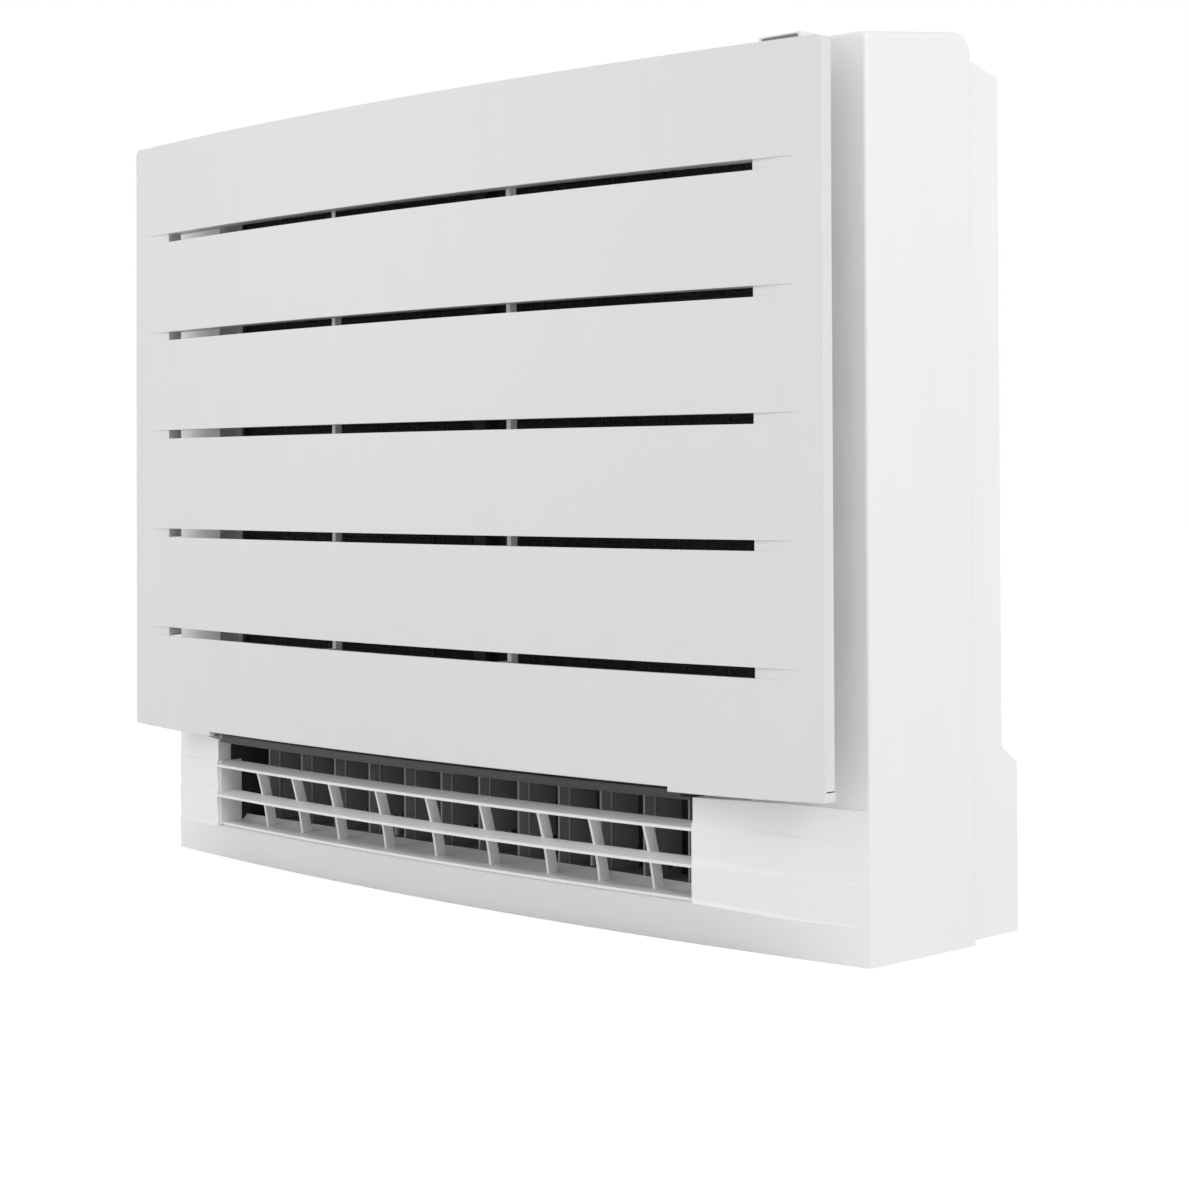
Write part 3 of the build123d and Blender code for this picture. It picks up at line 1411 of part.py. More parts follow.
with BuildPart() as terminal_block:
    low = box_low + 2 * board_gap
    near = box_back_out + box_wall
    middle = (box_left + box_right) / 2
    add(block(middle - terminal_width / 2, middle + terminal_width / 2, near, near + terminal_depth,
              low, low + terminal_height))
    pitch = terminal_height / terminal_ways
    with BuildSketch(front_plane(near + terminal_depth / 2)):
        with Locations((middle, low + terminal_height / 2)):
            with GridLocations(terminal_width, pitch, 2, terminal_ways):
                Rectangle(terminal_width / 2, pitch * 3 / 4)
    extrude(amount=terminal_depth, mode=Mode.SUBTRACT)
    with BuildSketch(front_plane(near + terminal_depth / 2)):
        with Locations((middle, low + terminal_height / 2)):
            with GridLocations(terminal_width * 3 / 4, pitch, 2, terminal_ways):
                Circle(pitch / 5)
    extrude(amount=terminal_depth / 6)
finish(terminal_block.part, "terminal_block")


# ---------------------------------------------------------------- stepping motors
def stepping_motor(x, out, z, radius):
    """Can of a small motor beside a duct, with the bore that its shaft end turns in."""
    with BuildPart() as piece:
        add(rod(side_plane(x), [(at(out), z - motor_can_drop)], motor_can, motor_can_depth))
        fillet(piece.edges().filter_by(GeomType.CIRCLE).group_by(Axis.X)[-1], soft_edge)
        add(rod(side_plane(x - past), [(at(out), z)], radius + running, past + 2 * motor_can_depth / 3),
            mode=Mode.SUBTRACT)
    return piece.part


with BuildPart() as stepping_motors:
    add(stepping_motor(top_slot_half + slip + ear, flap_axis_out, flap_axis_z, flap_pin))
    add(stepping_motor(duct_half + duct_wall, shutter_axis_out, shutter_axis_z, shutter_pin))
finish(stepping_motors.part, "stepping_motors")

# ================================================================ signal receiver on the top
tab_middle = (tab_left + tab_right) / 2
window_half = (tab_right - tab_left) / 2 - 2 * tab_wall
window_low = top_at(tab_front_out) + tab_wall / 2
button_out = (tab_back_out + tab_front_out) / 2
button_x = tab_middle - window_half / 2
with BuildPart() as receiver_housing:
    add(block(tab_left, tab_right, tab_back_out, tab_front_out, top_at(tab_front_out), tab_high))
    fillet(receiver_housing.edges().filter_by(Axis.Z), tab_wall)
    fillet(receiver_housing.edges().group_by(Axis.Z)[-1], tab_wall / 2)
    add(casing_block(0, 0), mode=Mode.SUBTRACT)
    add(block(tab_middle - window_half, tab_middle + window_half,
              tab_front_out - tab_wall, tab_front_out + past,
              window_low, window_low + window_high), mode=Mode.SUBTRACT)
    add(rod(level(tab_high - button_high - button_travel - slip), [(button_x, at(button_out))],
            button_radius + slip, 2 * button_high), mode=Mode.SUBTRACT)
finish(receiver_housing.part, "receiver_housing")

with BuildPart() as receiver_window:
    add(block(tab_middle - window_half, tab_middle + window_half,
              tab_front_out - tab_wall, tab_front_out - slip,
              window_low, window_low + window_high))
    fillet(receiver_window.edges().filter_by(Axis.Z).group_by(Axis.Y)[0], tab_wall / 2)
finish(receiver_window.part, "receiver_window")

with BuildPart() as on_off_button:
    add(rod(level(tab_high - button_high), [(button_x, at(button_out))], button_radius, button_high))
    fillet(on_off_button.edges().group_by(Axis.Z)[-1], slip)
finish(on_off_button.part, "on_off_button")
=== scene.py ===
# %% [markdown]
# # Floor standing air conditioner
# This is a low white console unit that stands at the foot of a wall. The frame brings every rigid
# piece of it at its real size and place, so this lesson dresses that frame: it sets the camera and
# the studio, mixes a finish for each kind of surface, and makes finer pieces where a plain solid
# lacks what the eye looks for, such as the net of a filter or the ripples of a hose.

# %% Bring in the frame
import math
import bpy
import numpy as np
from mathutils import Matrix, Vector


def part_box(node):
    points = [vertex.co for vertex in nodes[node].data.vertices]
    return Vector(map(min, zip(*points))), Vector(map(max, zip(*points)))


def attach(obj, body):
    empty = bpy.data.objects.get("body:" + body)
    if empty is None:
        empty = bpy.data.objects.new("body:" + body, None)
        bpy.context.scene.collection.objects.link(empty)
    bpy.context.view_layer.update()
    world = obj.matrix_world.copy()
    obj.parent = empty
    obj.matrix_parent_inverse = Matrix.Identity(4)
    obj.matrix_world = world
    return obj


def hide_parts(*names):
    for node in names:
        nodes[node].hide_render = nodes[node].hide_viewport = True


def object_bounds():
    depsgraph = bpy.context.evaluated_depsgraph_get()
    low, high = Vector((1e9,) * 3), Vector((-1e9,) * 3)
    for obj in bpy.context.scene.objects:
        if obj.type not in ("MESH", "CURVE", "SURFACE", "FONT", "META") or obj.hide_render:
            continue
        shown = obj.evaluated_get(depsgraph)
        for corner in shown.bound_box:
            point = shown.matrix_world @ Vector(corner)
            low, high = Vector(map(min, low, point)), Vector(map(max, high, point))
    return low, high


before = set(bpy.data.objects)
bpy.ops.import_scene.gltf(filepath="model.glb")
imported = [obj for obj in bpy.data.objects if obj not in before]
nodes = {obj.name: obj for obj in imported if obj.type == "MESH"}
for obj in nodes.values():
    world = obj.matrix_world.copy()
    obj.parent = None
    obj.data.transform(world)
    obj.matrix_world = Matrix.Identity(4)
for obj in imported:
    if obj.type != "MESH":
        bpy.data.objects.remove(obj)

frame_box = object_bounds()

# %% [markdown]
# ## The camera
# A product picture is taken from far off with a long lens, so that upright edges stay upright. The
# camera could be aimed by eye, but its place, its heading and its tilt are numbers here: they came
# from matching the corners of a box of the unit's size. The lens looks almost level, and a small
# shift, as on a view camera, sets the unit in the picture without tipping its sides.

# %% Where the camera looks
picture = 1188                                       # pixels along each side of the picture
focal_pixels = 2469.46                               # the lens's length, in those pixels
lens_axis = (621.23, 435.55)                         # pixel that the lens points at
camera_place = Vector((1.36715, -1.25224, 0.30775))
heading, tilt, lean = (math.radians(degrees) for degrees in (45.271, 0.988, -0.25))
ahead = Vector((-math.sin(heading) * math.cos(tilt), math.cos(heading) * math.cos(tilt),
                math.sin(tilt)))
level_right = Vector((math.cos(heading), math.sin(heading), 0))
level_up = level_right.cross(ahead)
right = level_right * math.cos(lean) + level_up * math.sin(lean)
up = level_up * math.cos(lean) - level_right * math.sin(lean)
print("camera looks along", [round(part, 3) for part in ahead])

# %% Camera
lens = bpy.data.cameras.new("studio_camera")
lens.sensor_width = 36
lens.lens = focal_pixels / picture * lens.sensor_width
lens.shift_x = 0.5 - lens_axis[0] / picture
lens.shift_y = lens_axis[1] / picture - 0.5
lens.clip_end = 100
camera = bpy.data.objects.new("studio_camera", lens)
bpy.context.scene.collection.objects.link(camera)
turned = Matrix((right, up, -ahead)).transposed().to_4x4()
camera.matrix_world = Matrix.Translation(camera_place) @ turned
bpy.context.scene.camera = camera
print("camera: lens %.1f mm, shift %.4f %.4f" % (lens.lens, lens.shift_x, lens.shift_y))

# %% [markdown]
# ## Small tools for node trees
# Every finish below is a tree of shader nodes. Blender wants each node made, set and wired in its
# own lines, which hides the idea. Two short helpers keep the trees readable: one adds a node with
# its settings, the other one wires sockets together by name. A third starts a group with named
# inputs and outputs, and two more make the nodes that come again and again: sums and noise.

# %% Node helpers
def add(tree, kind, values=None, **settings):
    """A new node of this kind, with values for its inputs, by name or place, and its settings."""
    node = tree.nodes.new(kind)
    for key, value in settings.items():
        setattr(node, key, value)
    for key, value in (values or {}).items():
        node.inputs[key].default_value = value
    return node


def wire(tree, source, outlet, target, inlet):
    """Joins one node's output socket to another node's input socket, each by name or place."""
    tree.links.new(source.outputs[outlet], target.inputs[inlet])


# %% Groups, sums and noise
colour_a, colour_b, colour_out = 6, 7, 2             # places of a Mix node's colour sockets


def new_group(title, inlets, outlets):
    """An empty shader node group with named inputs and outputs; gives its tree and its two ends."""
    tree = bpy.data.node_groups.new(title, "ShaderNodeTree")
    kinds = {"colour": "NodeSocketColor", "number": "NodeSocketFloat", "vector": "NodeSocketVector"}
    for name, kind, value in inlets:
        socket = tree.interface.new_socket(name, in_out="INPUT", socket_type=kinds[kind])
        socket.default_value = value
    for name, kind in outlets:
        tree.interface.new_socket(name, in_out="OUTPUT", socket_type=kinds[kind])
    return tree, tree.nodes.new("NodeGroupInput"), tree.nodes.new("NodeGroupOutput")


def maths(tree, operation, first, second, clamp=False):
    """A Math node whose two terms are numbers or (node, socket) pairs."""
    node = tree.nodes.new("ShaderNodeMath")
    node.operation, node.use_clamp = operation, clamp
    for slot, term in enumerate((first, second)):
        if isinstance(term, tuple):
            tree.links.new(term[0].outputs[term[1]], node.inputs[slot])
        else:
            node.inputs[slot].default_value = term
    return node


def noise(tree, coordinates, values):
    """A Noise texture read at these coordinates, a (node, socket) pair."""
    node = add(tree, "ShaderNodeTexNoise", values)
    wire(tree, *coordinates, node, "Vector")
    return node


print("node helpers: add, wire, new_group, maths, noise")

# %% [markdown]
# ## The moulded skin
# Injection moulded plastic is never one flat colour. The melt leaves a faint cloudiness, the steel
# of the mould prints a fine grain on the surface, and its shine drifts a little across it.
# A picture of a surface could carry all that, but noise in object coordinates has no seams and no
# resolution, so one group makes it for every plastic piece and only the numbers change.

# %% Group: moulded skin, its colour
skin, skin_in, skin_out = new_group(
    "moulded_skin",
    [("Colour", "colour", (0.8, 0.8, 0.8, 1)), ("Cloud", "number", 0.03),
     ("Grain Size", "number", 0.0006), ("Grain Depth", "number", 0.1), ("Shine", "number", 0.4),
     ("Dust", "number", 0.05)],
    [("Colour", "colour"), ("Roughness", "number"), ("Normal", "vector")])
place = add(skin, "ShaderNodeTexCoord")
cloud = noise(skin, (place, "Object"), {"Scale": 5.0, "Detail": 3.0})
streak_map = add(skin, "ShaderNodeMapping", {"Scale": (14.0, 14.0, 2.0)})
wire(skin, place, "Object", streak_map, "Vector")
streak = noise(skin, (streak_map, "Vector"), {"Scale": 3.0, "Detail": 4.0})
drift = maths(skin, "ADD", (cloud, "Fac"), (streak, "Fac"))
drift = maths(skin, "SUBTRACT", (drift, "Value"), 1.0)
drift = maths(skin, "MULTIPLY", (drift, "Value"), (skin_in, "Cloud"))
level_of_light = maths(skin, "ADD", (drift, "Value"), 1.0)
tinted = add(skin, "ShaderNodeVectorMath", operation="SCALE")
wire(skin, skin_in, "Colour", tinted, 0)
wire(skin, level_of_light, "Value", tinted, "Scale")
print("skin: its colour takes", len(skin.nodes), "nodes")

# %% [markdown]
# Dust settles on the faces that look up, and lies in patches. It could be painted on as a mask, but
# the direction of a face tells the same, so the dust stays right however the piece is shaped.

# %% Moulded skin, its dust
dust_colour = (0.55, 0.53, 0.5, 1)
facing = add(skin, "ShaderNodeNewGeometry")
upward = add(skin, "ShaderNodeSeparateXYZ")
wire(skin, facing, "Normal", upward, 0)
settle = add(skin, "ShaderNodeMapRange",
             {"From Min": 0.5, "From Max": 1.0, "To Min": 0.0, "To Max": 1.0})
wire(skin, upward, "Z", settle, "Value")
patch = noise(skin, (place, "Object"), {"Scale": 60.0, "Detail": 5.0})
dust = maths(skin, "MULTIPLY", (settle, "Result"), (patch, "Fac"))
dust = maths(skin, "MULTIPLY", (dust, "Value"), (skin_in, "Dust"), clamp=True)
dusty = add(skin, "ShaderNodeMix", {colour_b: dust_colour}, data_type="RGBA")
wire(skin, dust, "Value", dusty, "Factor")
wire(skin, tinted, 0, dusty, colour_a)
wire(skin, dusty, colour_out, skin_out, "Colour")
print("skin: dust lies where a face's normal rises above", settle.inputs["From Min"].default_value)

# %% [markdown]
# The print of the mould is a fine noise, raised as a bump: its cells have the size of the grain. A
# real displacement would need millions of faces for the same faint softening of the light.

# %% Moulded skin, its grain and shine
cells = maths(skin, "DIVIDE", 1.0, (skin_in, "Grain Size"))
grain = noise(skin, (place, "Object"), {"Detail": 2.0, "Roughness": 0.6})
wire(skin, cells, "Value", grain, "Scale")
relief = add(skin, "ShaderNodeBump", {"Distance": 0.0002})
wire(skin, skin_in, "Grain Depth", relief, "Strength")
wire(skin, grain, "Fac", relief, "Height")
wire(skin, relief, "Normal", skin_out, "Normal")
shine = maths(skin, "SUBTRACT", (cloud, "Fac"), 0.5)
shine = maths(skin, "MULTIPLY", (shine, "Value"), 0.12)
shine = maths(skin, "ADD", (shine, "Value"), (skin_in, "Shine"))
shine = maths(skin, "ADD", (shine, "Value"), (dust, "Value"), clamp=True)
wire(skin, shine, "Value", skin_out, "Roughness")
print("group:", skin.name, len(skin.nodes), "nodes")

# %% [markdown]
# ## Plastics
# The unit is nearly all plastic: bright white casing, a slightly greyer crowned panel, a plainer
# white back, pale grey guides and nearly black inner parts that the light must not find. They share
# the skin group, and differ in colour, grain and shine. The colours are written as the eye names
# them and turned to light values, because shaders count light, not screen values.

# %% Plastic, from a colour and a few measures
def light_of(red, green, blue):
    """Screen values from 0 to 255 as linear light: ((v + 0.055) / 1.055) ** 2.4 over the toe."""
    share = np.array([red, green, blue]) / 255
    linear = np.where(share <= 0.04045, share / 12.92, ((share + 0.055) / 1.055) ** 2.4)
    return (*linear.tolist(), 1.0)


def plastic(title, colour, shine=0.4, cloud=0.03, grain=0.0006, depth=0.1, dust=0.05, coat=0.0):
    """A moulded plastic: the skin group feeds a Principled shader; a coat can lie over it."""
    material = bpy.data.materials.new(title)
    material.use_nodes = True
    tree = material.node_tree
    shader = tree.nodes["Principled BSDF"]
    made = add(tree, "ShaderNodeGroup", node_tree=skin)
    for name, value in (("Colour", light_of(*colour)), ("Cloud", cloud), ("Grain Size", grain),
                        ("Grain Depth", depth), ("Shine", shine), ("Dust", dust)):
        made.inputs[name].default_value = value
    wire(tree, made, "Colour", shader, "Base Color")
    wire(tree, made, "Roughness", shader, "Roughness")
    wire(tree, made, "Normal", shader, "Normal")
    shader.inputs["Coat Weight"].default_value = coat
    shader.inputs["Coat Roughness"].default_value = 0.15
    return material


print("white as light:", light_of(243, 243, 243)[0])

# %% Plastic finishes
finish = {
    "casing_white": plastic("casing_satin_white", (243, 243, 243), shine=0.42, grain=0.0007,
                            depth=0.12),
    "panel_white": plastic("panel_soft_white", (227, 227, 227), shine=0.38, grain=0.0004,
                           depth=0.05),
    "rear_white": plastic("back_plain_white", (246, 246, 245), shine=0.5, grain=0.001, depth=0.2,
                          cloud=0.04),
    "guard_white": plastic("guard_satin_white", (240, 240, 240), shine=0.4, depth=0.08),
    "grey_plastic": plastic("grey_moulding", (150, 152, 154), shine=0.5, grain=0.001, depth=0.2),
    "light_grey_plastic": plastic("pale_grey_moulding", (232, 233, 234), shine=0.45, depth=0.12),
    "dark_plastic": plastic("charcoal_moulding", (58, 59, 61), shine=0.55, grain=0.001, depth=0.25,
                            dust=0.1),
    "filter_dark": plastic("filter_charcoal", (52, 54, 56), shine=0.6, grain=0.0009, depth=0.3,
                           dust=0.25),
    "fan_black": plastic("fan_black", (40, 40, 42), shine=0.5, grain=0.001, depth=0.25, dust=0.25),
    "terminal_cream": plastic("terminal_cream", (226, 220, 200), shine=0.4, depth=0.1),
    "button_white": plastic("button_white", (240, 241, 242), shine=0.35, depth=0.05),
    "window_dark": plastic("smoked_window", (44, 46, 50), shine=0.12, cloud=0.02, depth=0.01,
                           coat=0.6),
}
print("plastics:", len(finish))

# %% [markdown]
# ## Metals
# Rolled sheet, drawn tube and turned brass are told apart by the way their surface was worked: a
# sheet shows long fine lines, a tube shows lines along its length and a warm bloom of oxide, a zinc
# coat shows pale frosty crystals. One group stretches noise along a chosen direction for the lines,
# and spreads a second colour in blotches. The metal shader then needs only its base colour.

# %% Group: worked metal
worked, worked_in, worked_out = new_group(
    "worked_metal",
    [("Colour", "colour", (0.7, 0.7, 0.7, 1)), ("Bloom", "colour", (0.4, 0.4, 0.4, 1)),
     ("Bloom Share", "number", 0.3), ("Line Stretch", "vector", (1, 1, 1)),
     ("Shine", "number", 0.3), ("Line Depth", "number", 0.1)],
    [("Colour", "colour"), ("Roughness", "number"), ("Normal", "vector")])
place = add(worked, "ShaderNodeTexCoord")
blotch = noise(worked, (place, "Object"), {"Scale": 35.0, "Detail": 5.0, "Roughness": 0.6})
spread = add(worked, "ShaderNodeMapRange", {"From Min": 0.35, "From Max": 0.75})
wire(worked, blotch, "Fac", spread, "Value")
bloomed = maths(worked, "MULTIPLY", (spread, "Result"), (worked_in, "Bloom Share"), clamp=True)
metal_colour = add(worked, "ShaderNodeMix", data_type="RGBA")
wire(worked, bloomed, "Value", metal_colour, "Factor")
wire(worked, worked_in, "Colour", metal_colour, colour_a)
wire(worked, worked_in, "Bloom", metal_colour, colour_b)
wire(worked, metal_colour, colour_out, worked_out, "Colour")
print("metal: its colour takes", len(worked.nodes), "nodes")

# %% Worked metal, its lines and shine
stretched = add(worked, "ShaderNodeVectorMath", operation="MULTIPLY")
wire(worked, place, "Object", stretched, 0)
wire(worked, worked_in, "Line Stretch", stretched, 1)
lines = noise(worked, (stretched, "Vector"), {"Scale": 1500.0, "Detail": 2.0})
line_relief = add(worked, "ShaderNodeBump", {"Distance": 0.0001})
wire(worked, worked_in, "Line Depth", line_relief, "Strength")
wire(worked, lines, "Fac", line_relief, "Height")
wire(worked, line_relief, "Normal", worked_out, "Normal")
dull = maths(worked, "MULTIPLY", (blotch, "Fac"), 0.25)
dull = maths(worked, "ADD", (dull, "Value"), (worked_in, "Shine"), clamp=True)
wire(worked, dull, "Value", worked_out, "Roughness")
print("group:", worked.name, len(worked.nodes), "nodes")


# %% Metal finishes
def metal(title, colour, bloom, share=0.3, stretch=(1, 1, 1), shine=0.2, depth=0.15):
    """A bare or plated metal: the worked metal group feeds a fully metallic Principled shader."""
    material = bpy.data.materials.new(title)
    material.use_nodes = True
    tree = material.node_tree
    shader = tree.nodes["Principled BSDF"]
    made = add(tree, "ShaderNodeGroup", node_tree=worked)
    for name, value in (("Colour", light_of(*colour)), ("Bloom", light_of(*bloom)),
                        ("Bloom Share", share), ("Line Stretch", stretch), ("Shine", shine),
                        ("Line Depth", depth)):
        made.inputs[name].default_value = value
    wire(tree, made, "Colour", shader, "Base Color")
    wire(tree, made, "Roughness", shader, "Roughness")
    wire(tree, made, "Normal", shader, "Normal")
    shader.inputs["Metallic"].default_value = 1.0
    return material


metals = {
    "fin_aluminium": metal("lacquered_fins", (205, 212, 218), (176, 190, 200), 0.4, (1, 1, 0.05),
                           0.25),
    "copper": metal("drawn_copper", (214, 140, 106), (150, 82, 58), 0.5, (1, 1, 0.05), 0.22),
    "nut_brass": metal("turned_brass", (216, 184, 112), (168, 130, 70), 0.35, (1, 0.1, 1), 0.2),
    "zinc_steel": metal("zinc_sheet", (196, 200, 204), (150, 158, 164), 0.5, (0.05, 1, 1), 0.3),
    "screw_steel": metal("plated_screw", (190, 190, 188), (140, 138, 132), 0.3, (1, 1, 1), 0.25),
}
finish.update(metals)
print("metals:", len(metals))

# %% [markdown]
# ## Foam, hose and circuit board
# The fan's housing is moulded foam, the drain hose is soft polythene, and the board is glass cloth
# under green lacquer. Each could have a shader of its own. They reuse the moulded skin, with a
# coarse, a waxy or a glossy surface, because only its numbers differ.

# %% Soft and lacquered finishes
finish["foam_grey"] = plastic("housing_foam", (96, 99, 102), shine=0.8, cloud=0.08, grain=0.0012,
                              depth=0.6, dust=0.15)
finish["hose_grey"] = plastic("hose_polythene", (196, 198, 197), shine=0.35, cloud=0.05,
                              depth=0.05)
finish["board_green"] = plastic("board_lacquer", (40, 110, 62), shine=0.2, cloud=0.15, depth=0.02,
                                coat=0.5)
print("finishes in all:", len(finish))

# %% [markdown]
# ## Dressing the frame
# The frame's record says which finish each part takes, and the material that a node brings carries
# its name. A node keeps its shape, and only its material is exchanged. The lookup takes the first
# finish whose name is part of the material's name. So the order of the list counts: the words
# light_grey_plastic hold the words grey_plastic, which come first, and the rail, the drain pan and
# the panel's two stops therefore wear the mid grey, a shade darker than the record says.

# %% Put the finishes on the frame's nodes
for node in nodes.values():
    own = node.data.materials[0].name
    node.data.materials[0] = next(finish[title] for title in finish if title in own)
print("dressed:", len(nodes), "nodes; the rail wears", nodes["louvre_rail"].data.materials[0].name)

# %% [markdown]
# ## Surfaces from numbers
# The finer pieces below are small surfaces worked out with numpy. An outline carried along a
# straight line makes a channel, an outline turned round an axis makes a tube, and one little bar
# copied over a row of places makes a net. Modelling them by hand would work too, but a formula
# keeps every edge where the frame's numbers say, and whole arrays make hundreds of bars at once.
# A point's depth in the room is given as its distance from the wall, as a fitter would measure it.

# %% Put a surface in the scene
wall_y = frame_box[1][1]                             # the wall's plane in the frame
mm = 1000                                            # millimetres in a metre


def put_in(title, points, faces, body, slot):
    """A mesh object from an array of points and a list of faces, riding on a body of the frame."""
    mesh = bpy.data.meshes.new(title)
    mesh.from_pydata(points.tolist(), [], faces)
    mesh.materials.append(finish[slot])
    piece = bpy.data.objects.new(title, mesh)
    bpy.context.scene.collection.objects.link(piece)
    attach(piece, body)
    print(title, len(points), "points", len(faces), "faces")
    return piece


# %% Outlines and their faces
def rounded_outline(low, high, radius, steps):
    """A rectangle from low to high with round corners, as flat points in counter-clockwise order:
    each corner's centre, a radius inside, plus the radius times (cos, sin) of a quarter turn."""
    turn = np.linspace(0, math.pi / 2, steps) + np.arange(4)[:, None] * math.pi / 2
    towards = np.array([[1, 1], [-1, 1], [-1, -1], [1, -1]])[:, None]
    centre = np.where(towards > 0, high, low) - towards * radius
    return (centre + radius * np.stack([np.cos(turn), np.sin(turn)], axis=-1)).reshape(-1, 2)


def prism(near_ring, far_ring):
    """Two equal rings of points joined by a quad a side, and a polygon at each end. The near ring
    is counter-clockwise when it is seen from outside, so all faces point outwards."""
    count = len(near_ring)
    near = np.arange(count)
    after = (near + 1) % count
    sides = np.column_stack([near, near + count, after + count, after]).tolist()
    ends = [near.tolist(), (near + count)[::-1].tolist()]
    return np.vstack([near_ring, far_ring]), sides + ends


def wrapped_grid(rows, columns, closed=False):
    """Faces of a grid of points numbered row * columns + column, whose last row joins the first.
    Where it is closed, the last column joins the first as well; else a polygon closes each end."""
    row, column = np.meshgrid(np.arange(rows), np.arange(columns if closed else columns - 1),
                              indexing="ij")
    next_row, next_column = (row + 1) % rows, (column + 1) % columns
    quads = np.stack([row * columns + column, next_row * columns + column,
                      next_row * columns + next_column, row * columns + next_column], axis=-1)
    first = np.arange(rows) * columns
    ends = [] if closed else [first[::-1].tolist(), (first + columns - 1).tolist()]
    return quads.reshape(-1, 4).tolist() + ends


def from_wall(x, distance, height):
    """Points in metres from millimetres: (x, wall - distance, height), spread over one grid."""
    x, distance, height = np.broadcast_arrays(x, distance, height)
    return np.stack([x / mm, wall_y - distance / mm, height / mm], axis=-1)


print("a grid of 3 by 4 has", len(wrapped_grid(3, 4)), "faces")

# %% [markdown]
# ## The dark cover of the centre post
# Between the two filters the casing has a slim upright post. A dark channel, painted shade, is
# clipped over it, so that the post reads as the shade behind the slots and nothing white shines
# through them. It is an outline like a flat U, with rounded front corners, carried up along the
# post.
# A bevelled box with its back cut away would look alike, but the outline holds its wall and its
# corners in a few numbers.

# %% Centre post cover, painted shade
post_half, post_back, post_front = 5.0, 158.5, 163.0
cover_wall, cover_gap, cover_round, cover_back_gap = 1.2, 0.05, 1.0, 0.4
cover_low, cover_high = 154.5, 525.5
inner, inner_face = post_half + cover_gap, post_front + cover_gap
outer, face, back = inner + cover_wall, inner_face + cover_wall, post_back + cover_back_gap
turn = np.linspace(0, math.pi / 2, 7)
right_corner = np.column_stack([outer - cover_round + cover_round * np.cos(turn),
                                face - cover_round + cover_round * np.sin(turn)])
left_corner = right_corner[::-1] * [-1, 1]
channel = np.vstack([[[outer, back]], right_corner, left_corner,
                     [[-outer, back], [-inner, back], [-inner, inner_face], [inner, inner_face],
                      [inner, back]]])
# The cover's dark plastic is painted shade: it darkens the white post to the shade between the
# filters.
put_in("post_cover", *prism(from_wall(*channel.T, cover_low), from_wall(*channel.T, cover_high)),
       "casing", "dark_plastic")

# %% [markdown]
# ## The nets of the filters
# A filter of this kind is a net of thin threads moulded into a ribbed frame. The frame's node has
# the ribs and a thin sheet, so the threads are laid on the sheet. One thread is a slim bar of eight
# corners. The whole net is that bar added to an array of places, once upright and once across.
# A chequered bump would be cheaper, but it would not hold up when the panel is open.

# %% One thread, and a row of them
bar_corners = np.array([[-1, -1, -1], [1, -1, -1], [1, 1, -1], [-1, 1, -1],
                        [-1, -1, 1], [1, -1, 1], [1, 1, 1], [-1, 1, 1]]) / 2
bar_faces = np.array([[0, 3, 2, 1], [4, 5, 6, 7], [0, 1, 5, 4],
                      [1, 2, 6, 5], [2, 3, 7, 6], [3, 0, 4, 7]])


def bars(middles, size):
    """Equal bars of this size about each middle: corners = middle + unit corner * size."""
    points = (middles[:, None, :] + bar_corners * size).reshape(-1, 3)
    numbers = np.arange(len(middles))[:, None, None] * len(bar_corners)
    return points, (numbers + bar_faces).reshape(-1, 4)


print("one thread has", len(bar_faces), "faces")

# %% Filter nets
thread, mesh_pitch = 0.0006, 0.003
net_inset = 0.0068                                   # the width of the frame round the net
sheet_face = 0.1563                                  # from the wall to the thin sheet's face
raised, crossing = thread * 0.4, thread * 0.3        # threads before the sheet, and before those

for side in ("left", "right"):
    low, high = (np.array(corner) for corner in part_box(side + "_air_filter"))
    low, high = low + net_inset, high - net_inset
    across = np.arange(low[0] + mesh_pitch / 2, high[0], mesh_pitch)
    upward = np.arange(low[2] + mesh_pitch / 2, high[2], mesh_pitch)
    middle, depth = (low + high) / 2, wall_y - sheet_face - raised
    uprights = np.column_stack([across, np.full_like(across, depth),
                                np.full_like(across, middle[2])])
    levels = np.column_stack([np.full_like(upward, middle[0]),
                              np.full_like(upward, depth - crossing), upward])
    points, faces = bars(uprights, [thread, thread, high[2] - low[2]])
    more, more_faces = bars(levels, [high[0] - low[0], thread, thread])
    put_in(side + "_filter_net", np.vstack([points, more]),
           np.vstack([faces, more_faces + len(points)]).tolist(), side + "_filter", "filter_dark")

# %% [markdown]
# ## The receiver's window
# The remote control is heard through a smoked window in the little housing on top. It is a thin
# plate that covers its recess, almost as high as the housing's front. Its outline is a rectangle
# with small round corners, seen from the front and pushed back to its thickness. A cube with a
# bevel would round its thin edges too, where the real plate is cut square.

# %% Receiver window
below_top, window_shift, window_proud, window_sunk = 0.0013, 0.0003, 0.0003, 0.0008
pane_round = 0.0012
recess_low, recess_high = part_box("receiver_window")
housing_low, housing_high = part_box("receiver_housing")
window_low = np.array([recess_low[0] + window_shift, recess_low[2]])
window_high = np.array([recess_high[0] + window_shift, housing_high[2] - below_top])
pane = rounded_outline(window_low, window_high, pane_round, 6)
front_ring, back_ring = (np.insert(pane, 1, housing_low[1] + depth, axis=1)
                         for depth in (-window_proud, window_sunk))
window = put_in("smoked_receiver_window", *prism(front_ring, back_ring), "casing", "window_dark")
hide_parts("receiver_window")

# %% [markdown]
# ## The panel's lower corners
# Over the outlet the panel's lower edge is cut back to leave room for the dark seal; beside it the
# edge reaches a little lower and hides the hinges. Each corner is a strip that follows the crown of
# the panel: at every x, a small section with a rounded front edge, placed on the curve of the face.
# Bending a bevelled box with a modifier would come near, but the curve is known, so it is used.

# %% Curves of the panel's edge
panel_half, crown_middle, crown_edge = 375.0, 238.0, 212.9
panel_foot, panel_corner = 108.5, 5.0                # the lower edge, and its corner's radius


